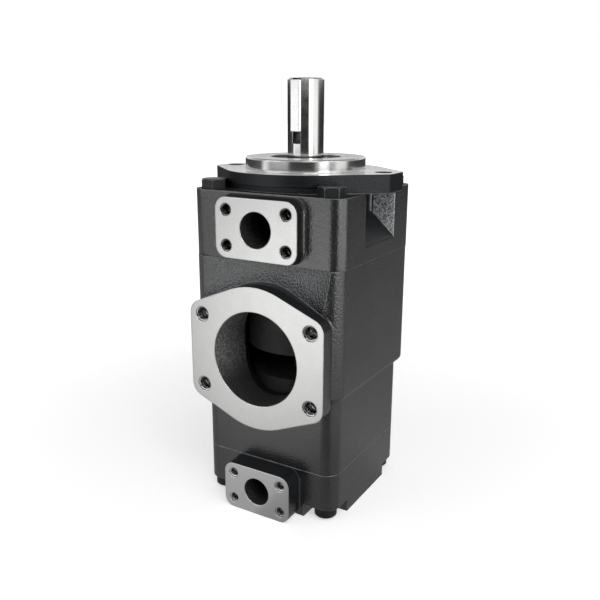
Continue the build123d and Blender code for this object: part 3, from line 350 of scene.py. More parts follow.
class Effects:
    """The shader node groups that the finishes share."""

    def __init__(self) -> None:
        """Build every group once."""
        self.cast_skin = self.make_cast_skin()
        self.edge_line = self.make_edge_line()
        self.plane_mask = self.make_plane_mask()
        self.hole_mask = self.make_hole_mask()
        self.tool_marks = self.make_tool_marks()

    def make_cast_skin(self) -> Tree:
        """Painted sand-casting skin: pebbled height, flecks and soft patches.

        Returns:
            The group's tree.
        """
        nodes, given, out = new_group("cast_skin", {"Position": VECTOR, "Grain": FLOAT},
                                      {"Height": FLOAT, "Fleck": FLOAT, "Patch": FLOAT})
        per_grain = nodes.math("DIVIDE", 1.0, given["Grain"])
        pebble = nodes.noise(given["Position"], per_grain, 1.0, 0.5)
        fine = nodes.noise(given["Position"], nodes.math("MULTIPLY", per_grain, 2.7), 2.0, 0.6)
        height = nodes.math("ADD", nodes.math("MULTIPLY", pebble, 0.85), nodes.math("MULTIPLY", fine, 0.15))
        nodes.feed(out.inputs["Height"], height)
        nodes.feed(out.inputs["Fleck"], nodes.ramp(fine, 0.52, 0.72))
        patch = nodes.noise(given["Position"], nodes.math("DIVIDE", per_grain, 14.0), 4.0, 0.6)
        nodes.feed(out.inputs["Patch"], nodes.ramp(patch, 0.35, 0.68))
        return nodes.tree

    def make_edge_line(self) -> Tree:
        """Rounded normal and a mask along edges, both from the bevel of the real shape.

        Returns:
            The group's tree.
        """
        nodes, given, out = new_group("edge_line", {"Radius": FLOAT, "Position": VECTOR},
                                      {"Normal": VECTOR, "Edge": FLOAT})
        bevel = nodes.add("ShaderNodeBevel", {"Radius": given["Radius"]}, samples=6)
        flat = nodes.add("ShaderNodeNewGeometry")
        facing = nodes.add("ShaderNodeVectorMath", {0: bevel.outputs[0], 1: flat.outputs["Normal"]},
                           operation="DOT_PRODUCT")
        edge = nodes.ramp(nodes.math("SUBTRACT", 1.0, facing.outputs["Value"]), 0.015, 0.16)
        broken = nodes.ramp(nodes.noise(given["Position"], 160.0, 4.0, 0.65), 0.32, 0.60)
        nodes.feed(out.inputs["Normal"], bevel.outputs[0])
        nodes.feed(out.inputs["Edge"], nodes.math("MULTIPLY", edge, broken))
        return nodes.tree

    def make_plane_mask(self) -> Tree:
        """Mask of a flat machined face: a coordinate at a level, facing along its own axis.

        Returns:
            The group's tree.
        """
        nodes, given, out = new_group("plane_mask", {"Coordinate": FLOAT, "Level": FLOAT, "Facing": FLOAT},
                                      {"Mask": FLOAT})
        away = nodes.math("ABSOLUTE", nodes.math("SUBTRACT", given["Coordinate"], given["Level"]))
        near = nodes.math("LESS_THAN", away, FACE_TOLERANCE * MM)
        faces = nodes.math("GREATER_THAN", nodes.math("ABSOLUTE", given["Facing"]), 0.9)
        nodes.feed(out.inputs["Mask"], nodes.math("MULTIPLY", near, faces))
        return nodes.tree

    def make_hole_mask(self) -> Tree:
        """Mask of the walls of four holes at the corners of a rectangle, down to a depth.

        Returns:
            The group's tree.
        """
        labels = ("Across", "Up", "Inward", "Half across", "Half up", "Radius", "Depth")
        nodes, given, out = new_group("hole_mask", dict.fromkeys(labels, FLOAT), {"Mask": FLOAT})
        across = nodes.math("SUBTRACT", nodes.math("ABSOLUTE", given["Across"]), given["Half across"])
        up = nodes.math("SUBTRACT", nodes.math("ABSOLUTE", given["Up"]), given["Half up"])
        square = nodes.math("ADD", nodes.math("MULTIPLY", across, across), nodes.math("MULTIPLY", up, up))
        inside = nodes.math("LESS_THAN", nodes.math("SQRT", square), given["Radius"])
        shallow = nodes.math("LESS_THAN", given["Inward"], given["Depth"])
        nodes.feed(out.inputs["Mask"], nodes.math("MULTIPLY", inside, shallow))
        return nodes.tree

    def make_tool_marks(self) -> Tree:
        """Fine lines that a tool leaves: a height and a soft streak value.

        Returns:
            The group's tree.
        """
        nodes, given, out = new_group("tool_marks", {"Position": VECTOR, "Along": VECTOR, "Pitch": FLOAT},
                                      {"Height": FLOAT, "Streak": FLOAT})
        per_pitch = nodes.math("DIVIDE", 1.0, given["Pitch"])
        line = nodes.noise(given["Along"], per_pitch, 3.0, 0.7)
        cloud = nodes.noise(given["Position"], 70.0, 4.0, 0.6)
        nodes.feed(out.inputs["Height"], line)
        half_line = nodes.math("MULTIPLY", line, 0.5)
        nodes.feed(out.inputs["Streak"], nodes.math("ADD", half_line, nodes.math("MULTIPLY", cloud, 0.5)))
        return nodes.tree


class Finish:
    """What every finish has: a new material with a principled shader, ready for its values."""

    def start(self, name: str) -> tuple[Material, Nodes, Node, Socket]:
        """Make a material: itself, its node helper, its shader and the position on the object."""
        material, nodes = new_material(name)
        return material, nodes, nodes.tree.nodes["Principled BSDF"], nodes.place()

    def carve(self, nodes: Nodes, shader: Node, height: Socket, edge: Node, depth: float) -> None:
        """Give the shader its normal.

        Args:
            nodes: The material's node helper.
            shader: The shader.
            height: The surface's height, in shares of the depth.
            edge: The edge line's node, for the rounded normal.
            depth: How far a height of 1 goes, in millimetres.
        """
        bump = nodes.add("ShaderNodeBump", {"Height": height, "Normal": edge.outputs["Normal"],
                                            "Strength": 1.0, "Distance": depth * MM})
        nodes.feed(shader.inputs["Normal"], bump.outputs[0])


@dataclass(frozen=True)
class Zones:
    """Masks of a casting's parts, from 0 to 1.

    Bare is all bare metal and turned its turned part; threads and bores are the
    walls of holes and ports; hollow is the inside and ledges, as painted shade.
    """

    bare: Value
    turned: Value
    threads: Value
    bores: Value
    scoop: Value
    matt: Value
    hollow: Value


@dataclass(frozen=True)
class CastPaint(Finish):
    """Satin black paint on a sand casting, with its machined faces left bare.

    Ports are bare on their faces and down their threads. In millimetres, above
    is a height over which all is bare, scuffed the Y of the wrench pockets' far
    walls, which are painted light in specks, a painted pool of light, coarse the
    height over which the sand has left a coarser skin, matt the height over which
    the paint is darkened and dulled as painted shade, and hollow the radius of
    the inside, which is dulled as painted shade, None for a solid piece. Scoop
    gives the Y of the front face, the Y of the scoop's deepest line and its
    lowest height; sides that face up in front of the Y ledges are dulled as
    painted shade.
    Iron is the tone of the bores.
    """

    FACING_FRONT = -0.94
    SCOOP_FADE = 6
    SCOOP_RISE = 10
    MATT_FADE = 1.0
    SAND_FADE = 12.0
    SHADE_IOR = 1.25

    effects: Effects
    ports: tuple[Port, ...] = ()
    above: float | None = None
    lit_pocket_wall: float | None = None
    # Near black by default, as painted shade in the narrow pressure bores; the suction row gives its iron's
    # own tone.
    iron: float = 0.008
    coarse: float | None = None
    matt: float | None = None
    hollow: float | None = 68.0
    scoop: Place | None = None
    ledges: float | None = None
    # Painted light: the near-white tone of the pockets' far walls stands in for light falling on them.
    pocket_light_tone: Colour = (0.82, 0.86, 0.87, 1)
    # Painted shade: over the matt height the flange plate and the cap's top take this dim metal tone.
    top_shade_tone: Colour = (0.028, 0.029, 0.031, 1)
    paint: Colour = (0.0075, 0.0082, 0.0095, 1)
    worn: Colour = (0.020, 0.021, 0.023, 1)
    # Painted sheen: the scoop above the suction port is painted lighter, in pebbled specks.
    scoop_sheen_tone: Colour = (0.085, 0.092, 0.098, 1)
    # Chips of bare iron on the edges; the same light tone along the edges is also a painted highlight.
    chips_and_edge_highlight: Colour = (0.38, 0.38, 0.385, 1)
    steel: Colour = (0.60, 0.60, 0.595, 1)
    # Painted shade: the threaded holes' walls are near black, for the shade deep in the holes.
    thread: Colour = grey(0.012)
    grain: float = 1.9
    relief: float = 0.62
    roughness: float = 0.20
    gloss: float = 1.85
    edge: float = 1.5

    def over(self, nodes: Nodes, place: Socket, level: float | None, fade: float) -> Value:
        """Mask of what lies over a height, fading in under it; 0 where there is no height.

        Args:
            nodes: The material's node helper.
            place: The position on the object.
            level: The height, or None.
            fade: How far under it the mask begins.

        Returns:
            The mask.
        """
        if level is None:
            return 0.0
        return nodes.ramp(nodes.split(place)[2], (level - fade) * MM, level * MM)

    def zones(self, nodes: Nodes, place: Socket) -> Zones:
        """Masks of the casting's parts.

        Args:
            nodes: The material's node helper.
            place: The position on the object.

        Returns:
            The masks.
        """
        x, y, z = nodes.split(place)
        facing = nodes.normal()[1]
        start = PAST_ALL if self.above is None else self.above - LEVEL_TOLERANCE
        turned = nodes.math("GREATER_THAN", z, start * MM)
        bare, threads, bores = turned, 0.0, 0.0
        for port in self.ports:
            up = nodes.math("SUBTRACT", z, port.height * MM)
            inward = nodes.math("ADD", y, port.face * MM)
            lip = nodes.math("LESS_THAN", inward, LIP * MM)
            inside = nodes.math("SUBTRACT", 1.0, lip)
            face = nodes.group(self.effects.plane_mask, Coordinate=y, Level=-port.face * MM, Facing=facing)
            sizes = ((port.span_x / 2, port.span_z / 2, port.thread, port.depth + HOLE_RUNOUT),
                     (0.0, 0.0, port.bore, BORE_DEPTH))
            holes, mouth = (
                nodes.group(self.effects.hole_mask, Across=x, Up=up, Inward=inward, Half_across=half_x * MM,
                            Half_up=half_z * MM, Radius=(radius + HOLE_CLEARANCE) * MM,
                            Depth=depth * MM).outputs[0]
                for half_x, half_z, radius, depth in sizes)
            bare = nodes.math("MAXIMUM", bare, face.outputs[0], nodes.math("MULTIPLY", mouth, lip),
                              nodes.math("MULTIPLY", holes, lip))
            threads = nodes.math("MAXIMUM", threads, nodes.math("MULTIPLY", holes, inside))
            bores = nodes.math("MAXIMUM", bores, nodes.math("MULTIPLY", mouth, inside))
        matt = self.over(nodes, place, self.matt, self.MATT_FADE)
        hollow = self.shaded_inside_and_ledges(nodes, place, bores)
        return Zones(bare, turned, threads, bores, self.scooped(nodes, place), matt, hollow)

    def shaded_inside_and_ledges(self, nodes: Nodes, place: Socket, bores: Value) -> Value:
        """Mask of the casting's inside and of its ledges, dulled as painted shade; 0 on a solid piece.

        Args:
            nodes: The material's node helper.
            place: The position on the object.
            bores: The mask of the ports' bores, where no ledge counts.

        Returns:
            The mask.
        """
        if self.hollow is None:
            return 0.0
        inner = nodes.math("LESS_THAN", nodes.radius(place), self.hollow * MM)
        ledge = nodes.math("MULTIPLY", self.ledge(nodes, place), nodes.between(bores, 0.85, 0.0))
        return nodes.math("MAXIMUM", inner, ledge)

    def ledge(self, nodes: Nodes, place: Socket) -> Value:
        """Mask of the sides that face up in front of a Y, dulled as painted shade.

        Args:
            nodes: The material's node helper.
            place: The position on the object.

        Returns:
            The mask.
        """
        if self.ledges is None:
            return 0.0
        out = nodes.math("LESS_THAN", nodes.split(place)[1], self.ledges * MM)
        return nodes.math("MULTIPLY", out, nodes.ramp(nodes.normal()[2], 0.10, 0.30))

    def scooped(self, nodes: Nodes, place: Socket) -> Value:
        """Mask of the scoop in the front face, growing from the face towards its deepest line.

        Args:
            nodes: The material's node helper.
            place: The position on the object.

        Returns:
            The mask.
        """
        if self.scoop is None:
            return 0.0
        face, deep, low = (value * MM for value in self.scoop)
        _, y, z = nodes.split(place)
        sunk = nodes.ramp(y, face, face + self.SCOOP_FADE * MM)
        shallow = nodes.math("LESS_THAN", y, deep)
        front = nodes.math("LESS_THAN", nodes.normal()[1], self.FACING_FRONT)
        high = nodes.ramp(z, low, low + self.SCOOP_RISE * MM)
        return nodes.math("MULTIPLY", sunk, shallow, front, high)

    def lit_pocket_mask(self, nodes: Nodes, place: Socket) -> Value:
        """Mask of the wrench pockets' far walls, which are painted light in specks as a painted pool of
        light.

        Args:
            nodes: The material's node helper.
            place: The position on the object.

        Returns:
            The mask.
        """
        if self.lit_pocket_wall is None:
            return 0.0
        wall = nodes.group(self.effects.plane_mask, Coordinate=nodes.split(place)[1],
                           Level=self.lit_pocket_wall * MM, Facing=nodes.normal()[1])
        speckle = nodes.ramp(nodes.noise(place, 800.0, 1.5), 0.42, 0.58, 0.24, 1.0)
        return nodes.math("MULTIPLY", wall.outputs[0], speckle)

    def raw(self, nodes: Nodes, place: Socket) -> Socket:
        """Colour of the bores: pitted iron, turning black towards their lower part.

        Args:
            nodes: The material's node helper.
            place: The position on the object.

        Returns:
            The colour's socket.
        """
        pits = nodes.ramp(nodes.noise(place, 420.0, 2.0), 0.42, 0.60)
        iron = nodes.blend(pits, grey(0.5 * self.iron), grey(1.6 * self.iron))
        for port in self.ports:
            upper_part = nodes.ramp(nodes.split(place)[2], (port.height - 0.75 * port.bore) * MM,
                             (port.height - 0.02 * port.bore) * MM)
            # The bores turn black towards their lower part.
            iron = nodes.blend(upper_part, self.paint, iron)
        return iron

    def colour(self, nodes: Nodes, place: Socket, skin: Node, edge: Node, zones: Zones) -> Socket:
        """Colour of all that isn't bare.

        Args:
            nodes: The material's node helper.
            place: The position on the object.
            skin: The cast skin's node.
            edge: The edge line's node.
            zones: The masks of the casting's parts.

        Returns:
            The colour's socket.
        """
        tone = nodes.blend(nodes.math("MULTIPLY", skin.outputs["Patch"], 0.5), self.paint, self.worn)
        pebble = nodes.ramp(skin.outputs["Height"], 0.36, 0.66, 0.35, 1.0)
        # Edges: chips of bare iron and a painted highlight line.
        layers = ((nodes.math("MULTIPLY", edge.outputs["Edge"], 0.8), self.chips_and_edge_highlight),
                  # Painted light on the pockets' far walls.
                  (self.lit_pocket_mask(nodes, place), self.pocket_light_tone),
                  # Painted sheen on the scoop.
                  (nodes.math("MULTIPLY", zones.scoop, pebble), self.scoop_sheen_tone),
                  # Painted shade over the matt height.
                  (zones.matt, self.top_shade_tone),
                  (zones.bores, self.raw(nodes, place)),
                  (zones.hollow, self.paint),
                  # Painted shade: near-black walls of the threaded holes.
                  (zones.threads, self.thread))
        for share, layer in layers:
            tone = nodes.blend(share, tone, layer)
        return tone

    def make(self, name: str) -> Material:
        """Material of this finish under a name.

        Args:
            name: The material's name.

        Returns:
            The material.
        """
        material, nodes, shader, place = self.start(name)
        skin = nodes.group(self.effects.cast_skin, Position=place, Grain=self.grain * MM)
        edge = nodes.group(self.effects.edge_line, Radius=self.edge * MM, Position=place)
        marks = nodes.group(self.effects.tool_marks, Position=place, Along=place, Pitch=0.6 * MM)
        zones = self.zones(nodes, place)
        streak = marks.outputs["Streak"]
        metal = nodes.blend(streak, self.steel, opaque(self.steel[:3], 0.86))
        tone = self.colour(nodes, place, skin, edge, zones)
        nodes.feed(shader.inputs["Base Color"], nodes.blend(zones.bare, tone, metal))
        chips = nodes.math("MULTIPLY", edge.outputs["Edge"], 0.6)
        dark = nodes.math("MAXIMUM", zones.threads, zones.matt)
        nodes.feed(shader.inputs["Metallic"], nodes.math("MAXIMUM", zones.bare, dark, chips))
        dull = nodes.math("ADD", self.roughness, nodes.math("MULTIPLY", skin.outputs["Fleck"], 0.12))
        dull = nodes.between(zones.matt, dull, 0.38)
        # Painted shade: the inside and the up-facing ledges are made duller and less glossy.
        dull = nodes.between(nodes.math("MAXIMUM", zones.bores, zones.hollow), dull, 0.55)
        honed = nodes.math("ADD", nodes.between(zones.turned, 0.22, 0.09),
                           nodes.math("MULTIPLY", streak, nodes.between(zones.turned, 0.12, 0.10)))
        solid = self.hollow is None
        ior = self.gloss if solid else nodes.between(zones.hollow, self.gloss, self.SHADE_IOR)
        nodes.feed(shader.inputs["IOR"], ior)
        nodes.feed(shader.inputs["Roughness"], nodes.between(zones.bare, dull, honed))
        sand = nodes.between(self.over(nodes, place, self.coarse, self.SAND_FADE), 0.5, 1.0)
        sand = nodes.between(zones.scoop, sand, 1.5)
        sand = nodes.between(zones.bores, sand, 2.4)
        height = nodes.between(zones.bare, nodes.math("MULTIPLY", skin.outputs["Height"], sand),
                               nodes.math("MULTIPLY", marks.outputs["Height"], 0.02))
        self.carve(nodes, shader, height, edge, self.relief)
        return material


@dataclass(frozen=True)
class BareMetal(Finish):
    """Cut metal: milled, turned or ground, with the lines of its tool.

    In millimetres, pitch and depth are those of the tool's lines, slot is half
    the width of a keyway with darkened walls, nothing for none, and slot_radius
    the radius that its walls stay under. Stain is how much darker the streaks are.
    """

    effects: Effects
    marks: Marks
    colour: Tone
    roughness: float = 0.25
    pitch: float = 0.25
    depth: float = 0.012
    stain: float = 0.12
    slot: float = 0.0
    slot_radius: float = 18.9

    def sunk(self, nodes: Nodes, place: Socket) -> Socket:
        """Mask of the keyway's walls: within its half width, in front of the axis and under the surface.

        Args:
            nodes: The material's node helper.
            place: The position on the object.

        Returns:
            The mask.
        """
        x, y, _ = nodes.split(place)
        across = nodes.math("LESS_THAN", nodes.math("ABSOLUTE", x), self.slot * MM)
        under = nodes.math("LESS_THAN", nodes.radius(place), self.slot_radius * MM)
        front = nodes.math("LESS_THAN", y, -self.slot_radius * MM / 2)
        return nodes.math("MULTIPLY", across, under, front)

    def along(self, nodes: Nodes, place: Socket) -> Socket:
        """Position squeezed so that a fine pattern draws out along the tool's path.

        Args:
            nodes: The material's node helper.
            place: The position on the object.

        Returns:
            The position's socket.
        """
        if self.marks is Marks.MILLED:
            return nodes.stretched(place, (1.0, 0.08, 0.08))
        x, y, z = nodes.split(place)
        turn = nodes.math("MULTIPLY", nodes.math("ARCTAN2", y, x), 0.002)
        return nodes.add("ShaderNodeCombineXYZ", {0: nodes.radius(place), 1: turn, 2: z}).outputs[0]

    def make(self, name: str) -> Material:
        """Material of this finish under a name.

        Args:
            name: The material's name.

        Returns:
            The material.
        """
        material, nodes, shader, place = self.start(name)
        marks = nodes.group(self.effects.tool_marks, Position=place, Along=self.along(nodes, place),
                            Pitch=self.pitch * MM)
        edge = nodes.group(self.effects.edge_line, Radius=0.35 * MM, Position=place)
        tone = nodes.blend(nodes.ramp(marks.outputs["Streak"], 0.35, 0.7), opaque(self.colour),
                           opaque(self.colour, 1 - self.stain))
        # Painted highlight: the edges are lightened into a bright line.
        tone = nodes.blend(nodes.math("MULTIPLY", edge.outputs["Edge"], 0.5), tone, opaque(self.colour, 1.15))
        dull = nodes.ramp(marks.outputs["Streak"], 0.2, 0.8, self.roughness - 0.05, self.roughness + 0.08)
        if self.slot:
            sunk = self.sunk(nodes, place)
            # The keyway's walls are darkened and dulled.
            dark_slot_tone = nodes.blend(nodes.noise(place, 900.0), grey(0.03), grey(0.14))
            tone = nodes.blend(sunk, tone, dark_slot_tone)
            dull = nodes.between(sunk, dull, 0.55)
        nodes.feed(shader.inputs["Base Color"], tone)
        nodes.feed(shader.inputs["Metallic"], 1.0)
        nodes.feed(shader.inputs["Roughness"], dull)
        self.carve(nodes, shader, marks.outputs["Height"], edge, self.depth)
        return material


@dataclass(frozen=True)
class DullCoat(Finish):
    """A coating or a rubber: one tone broken by a fine grain, and paler edges as a painted highlight.

    Ground bright steel shows inside the radius honed, in millimetres.
    """

    effects: Effects
    colour: Tone
    roughness: float = 0.5
    grain: float = 0.5
    depth: float = 0.05
    honed: float = 0.0
    steel: Colour = (0.55, 0.55, 0.555, 1)

    def make(self, name: str) -> Material:
        """Material of this finish under a name.

        Args:
            name: The material's name.

        Returns:
            The material.
        """
        material, nodes, shader, place = self.start(name)
        skin = nodes.group(self.effects.cast_skin, Position=place, Grain=self.grain * MM)
        edge = nodes.group(self.effects.edge_line, Radius=0.4 * MM, Position=place)
        pale = opaque(self.colour, 1.9, 0.01)
        tone = nodes.blend(nodes.math("MULTIPLY", skin.outputs["Patch"], 0.4), opaque(self.colour), pale)
        # Painted highlight: paler edges.
        tone = nodes.blend(nodes.math("MULTIPLY", edge.outputs["Edge"], 0.5), tone, pale)
        bright = nodes.math("LESS_THAN", nodes.radius(place), self.honed * MM)
        nodes.feed(shader.inputs["Base Color"], nodes.blend(bright, tone, self.steel))
        nodes.feed(shader.inputs["Metallic"], bright)
        coat = nodes.math("ADD", self.roughness, nodes.math("MULTIPLY", skin.outputs["Fleck"], 0.15))
        nodes.feed(shader.inputs["Roughness"], nodes.between(bright, coat, 0.2))
        self.carve(nodes, shader, skin.outputs["Height"], edge, self.depth)
        return material


def dress(node: str, material: Material) -> None:
    """Give a CAD node a material in its own slots."""
    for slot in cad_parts[node].material_slots:
        slot.material = material


class ThreadTree:
    """Geometry nodes that cut four screw threads: a ridge wound round each hole, seen on its wall.

    Inset and ridge are shares of the pitch: how far the ridge's middle lies
    inside the hole's wall, and the ridge's radius. Setback and short are how
    far behind the face it starts and how much less deep than the hole it runs,
    in millimetres.
    """

    INSET = 0.06
    RIDGE = 0.56
    STEPS = 40
    CORNERS = 3
    SETBACK = 0.9
    SHORT = 1.0

    def __init__(self) -> None:
        """Build the tree with named inputs."""
        self.tree = bpy.data.node_groups.new("port_threads", "GeometryNodeTree")
        face = self.tree.interface
        face.new_socket("Geometry", in_out="OUTPUT", socket_type="NodeSocketGeometry")
        for label in ("Radius", "Pitch", "Depth", "Span X", "Span Z", "Face", "Height"):
            face.new_socket(label, in_out="INPUT", socket_type=FLOAT)
        face.new_socket("Material", in_out="INPUT", socket_type="NodeSocketMaterial")
        nodes = Nodes(self.tree)
        given = nodes.add("NodeGroupInput").outputs
        out = nodes.add("NodeGroupOutput")
        turns = nodes.math("DIVIDE", given["Depth"], given["Pitch"])
        middle = nodes.math("SUBTRACT", given["Radius"], nodes.math("MULTIPLY", given["Pitch"], self.INSET))
        helix = nodes.add("GeometryNodeCurveSpiral", {
            "Resolution": self.STEPS, "Rotations": turns, "Start Radius": middle, "End Radius": middle,
            "Height": given["Depth"]})
        profile = nodes.add("GeometryNodeCurvePrimitiveCircle", {
            "Resolution": self.CORNERS, "Radius": nodes.math("MULTIPLY", given["Pitch"], self.RIDGE)})
        ridge = nodes.add("GeometryNodeCurveToMesh", {
            "Curve": helix.outputs[0], "Profile Curve": profile.outputs[0], "Fill Caps": True})
        half_x = nodes.math("MULTIPLY", given["Span X"], 0.5)
        half_z = nodes.math("MULTIPLY", given["Span Z"], 0.5)
        joined = nodes.add("GeometryNodeJoinGeometry")
        for side, lift in ((1, 1), (-1, 1), (-1, -1), (1, -1)):
            place = nodes.add("ShaderNodeCombineXYZ", {
                0: nodes.math("MULTIPLY", half_x, side), 1: nodes.math("MULTIPLY", given["Face"], -1.0),
                2: nodes.math("ADD", given["Height"], nodes.math("MULTIPLY", half_z, lift))})
            point = nodes.add("GeometryNodePoints", {"Count": 1, "Position": place.outputs[0]})
            self.tree.links.new(point.outputs[0], joined.inputs[0])
        copies = nodes.add("GeometryNodeInstanceOnPoints", {
            "Points": joined.outputs[0], "Instance": ridge.outputs[0],
            "Rotation": (math.radians(-90), 0.0, 0.0)})
        real = nodes.add("GeometryNodeRealizeInstances", {0: copies.outputs[0]})
        dressed = nodes.add("GeometryNodeSetMaterial", {
            "Geometry": real.outputs[0], "Material": given["Material"]})
        nodes.feed(out.inputs[0], dressed.outputs[0])

    def cut(self, port: Port, material: Material) -> Object:
        """Make the threads of one port.

        Args:
            port: The port whose four holes are threaded.
            material: The bare metal of the thread.

        Returns:
            A plain mesh object in its place.
        """
        name = f"{port.name}_threads"
        helper = place_object(f"{name}_source", bpy.data.meshes.new(f"{name}_source"))
        modifier = helper.modifiers.new("threads", "NODES")
        modifier.node_group = self.tree
        sizes = {"Radius": port.thread, "Pitch": port.pitch, "Depth": port.depth - self.SHORT,
                 "Span X": port.span_x, "Span Z": port.span_z, "Face": port.face - self.SETBACK,
                 "Height": port.height}
        values = {label: size * MM for label, size in sizes.items()} | {"Material": material}
        for item in self.tree.interface.items_tree:
            if item.in_out == "INPUT":
                modifier[item.identifier] = values[item.name]
        piece = settle(helper, name)
        piece.data.shade_flat()
        return piece


def settle(helper: Object, name: str) -> Object:
    """Turn an object's evaluated shape into a plain mesh object.

    Args:
        helper: The object with its live modifiers, which is removed.
        name: The new object's name.

    Returns:
        The plain mesh object, at the origin.
    """
    graph = bpy.context.evaluated_depsgraph_get()
    mesh = bpy.data.meshes.new_from_object(helper.evaluated_get(graph))
    mesh.name = name
    piece = place_object(name, mesh)
    bpy.data.objects.remove(helper)
    return piece


@dataclass
class Castings:
    """The three castings, their screws and the threads of their ports."""

    effects: Effects
    threads: ThreadTree
    screws: tuple[str, ...] = ("front_cap_screws", "end_cap_screws")

    def paints(self) -> dict[str, CastPaint]:
        """Paint of each casting, and of the screws, by the name of its material.

        Returns:
            The paints in the order in which they are made.
        """
        return {
            "front_cap": CastPaint(self.effects, (PRESSURE_1,), above=0.0, lit_pocket_wall=37.0, matt=-17.5,
                                   ledges=PAST_ALL),
            "centre_housing": CastPaint(self.effects, (SUCTION,), iron=0.17, coarse=-150.0,
                                        scoop=(-86.4, -74.0, -158.0), ledges=-86.4),
            "end_cap": CastPaint(self.effects, (PRESSURE_2,), ledges=PAST_ALL),
            "painted_screw": CastPaint(self.effects, hollow=None, grain=1.2, relief=0.15, roughness=0.4,
                                       gloss=1.4),
        }

    def build(self) -> list[str]:
        """Dress the castings and cut their threads.

        Returns:
            Names of the pieces made or dressed.
        """
        made = []
        for name, paint in self.paints().items():
            material = paint.make(name)
            for node in (name,) if paint.ports else self.screws:
                dress(node, material)
                made.append(node)
            for port in paint.ports:
                # The crests' tone is darkened port by port as painted shade of the holes.
                steel = BareMetal(self.effects, Marks.TURNED, (port.crest,) * 3, 0.10, 0.4, 0.002)
                piece = self.threads.cut(port, steel.make(f"{port.name}_thread_metal"))
                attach(piece, PUMP)
                made.append(piece.name)
        return made


@dataclass
class ShaftLine:
    """Shaft, bearing, seals and circlips."""

    effects: Effects
    steel: Tone = (0.66, 0.66, 0.655)
    rows: dict[str, tuple[str, ...]] = field(default_factory=lambda: {
        "ground": ("drive_shaft",),
        "race": ("bearing_outer_race", "bearing_inner_race"),
        "ball": ("bearing_balls",),
        "brass": ("bearing_cage", "front_plate_bush", "rear_plate_bush"),
        "spring": ("bearing_retaining_ring", "shaft_circlip"),
        "rubber": ("shaft_seal", "front_cap_seal", "end_cap_seal", "front_neck_seal", "rear_neck_seal"),
    })

    def build(self) -> list[str]:
        """Dress every piece.

        Returns:
            Names of the pieces dressed.
        """
        looks = {
            "ground": BareMetal(self.effects, Marks.GROUND, self.steel, 0.09, 0.16, 0.0008, 0.06, slot=4.8),
            "race": BareMetal(self.effects, Marks.TURNED, (0.62, 0.62, 0.63), 0.2, 0.3, 0.01),
            "ball": BareMetal(self.effects, Marks.GROUND, (0.70, 0.70, 0.71), 0.08, 0.5, 0.001, 0.03),
            "brass": BareMetal(self.effects, Marks.TURNED, (0.62, 0.43, 0.17), 0.3, 0.4, 0.01),
            "spring": DullCoat(self.effects, (0.045, 0.045, 0.048), 0.35, 0.4, 0.01),
            "rubber": DullCoat(self.effects, (0.018, 0.018, 0.019), 0.55, 0.6, 0.02),
        }
        made = []
        for look, nodes in self.rows.items():
            material = looks[look].make(f"{look}_finish")
            for node in nodes:
                dress(node, material)
                made.append(node)
        return made


@dataclass
class DriveKey:
    """Square key in the shaft's keyway; half of it stands out for the coupling. Millimetres."""

    effects: Effects
    steel: Tone = (0.66, 0.66, 0.655)
    width: float = 9.49
    length: float = 50.8
    keyway_floor: float = -13.67
    low: float = 38.5
    chamfer: float = 0.35

    def build(self) -> list[str]:
        """Make the key.

        Returns:
            The name of the piece.
        """
        size = Vector((self.width, self.width, self.length)) * MM
        middle = Vector((0.0, self.keyway_floor - self.width / 2, self.low + self.length / 2)) * MM
        shape = bmesh.new()
        block = Matrix.Translation(middle) @ Matrix.Diagonal(size).to_4x4()
        bmesh.ops.create_cube(shape, size=1.0, matrix=block)
        bmesh.ops.bevel(shape, geom=shape.edges[:], offset=self.chamfer * MM, segments=2, affect="EDGES")
        bmesh.ops.recalc_face_normals(shape, faces=shape.faces[:])
        mesh = bpy.data.meshes.new("shaft_key")
        shape.to_mesh(mesh)
        shape.free()
        finish = BareMetal(self.effects, Marks.MILLED, self.steel, 0.12, 0.3, 0.003, 0.06)
        mesh.materials.append(finish.make("key_steel"))
        key = place_object("shaft_key", mesh)
        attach(key, SHAFT)
        return [key.name]


@dataclass
class Cartridges:
    """Both pump cartridges: plates, cam rings, rotors, vanes, screws and pins."""

    effects: Effects
    # Near black: a dark oxide finish, darkened further as painted shade of the pump's inside.
    cam_tone: Tone = (0.007, 0.007, 0.008)
    vanes: int = 10
    cam_radius: dict[str, float] = field(default_factory=lambda: {"front": 47.6, "rear": 41.1})

    def build(self) -> list[str]:
        """Dress every piece.

        Returns:
            Names of the pieces dressed.
        """
        # Plates and cam rings: dark oxide, darkened further as painted shade of the pump's inside.
        plate = DullCoat(self.effects, (0.007, 0.007, 0.0075), 0.65, 0.6, 0.03).make("plate_iron")
        rotor = BareMetal(self.effects, Marks.GROUND, (0.55, 0.55, 0.56), 0.22, 0.3).make("rotor_steel")
        vane = BareMetal(self.effects, Marks.MILLED, (0.60, 0.60, 0.61), 0.18, 0.2, 0.006).make("vane_steel")
        screw = DullCoat(self.effects, (0.03, 0.03, 0.032), 0.38, 0.4, 0.02).make("black_screw_finish")
        made = []
        for side in ("front", "rear"):
            honed = self.cam_radius[side]
            cam = DullCoat(self.effects, self.cam_tone, 0.6, 0.5, 0.02, honed).make(f"{side}_cam_steel")
            rows = {f"{side}_pressure_plate": plate, f"{side}_suction_plate": plate, f"{side}_cam_ring": cam,
                    f"{side}_rotor": rotor, f"{side}_cartridge_screws": screw, f"{side}_dowel_pins": vane}
            rows.update({f"{side}_vane_{i + 1:02d}": vane for i in range(self.vanes)})
            for node, material in rows.items():
                dress(node, material)
                made.append(node)
        return made


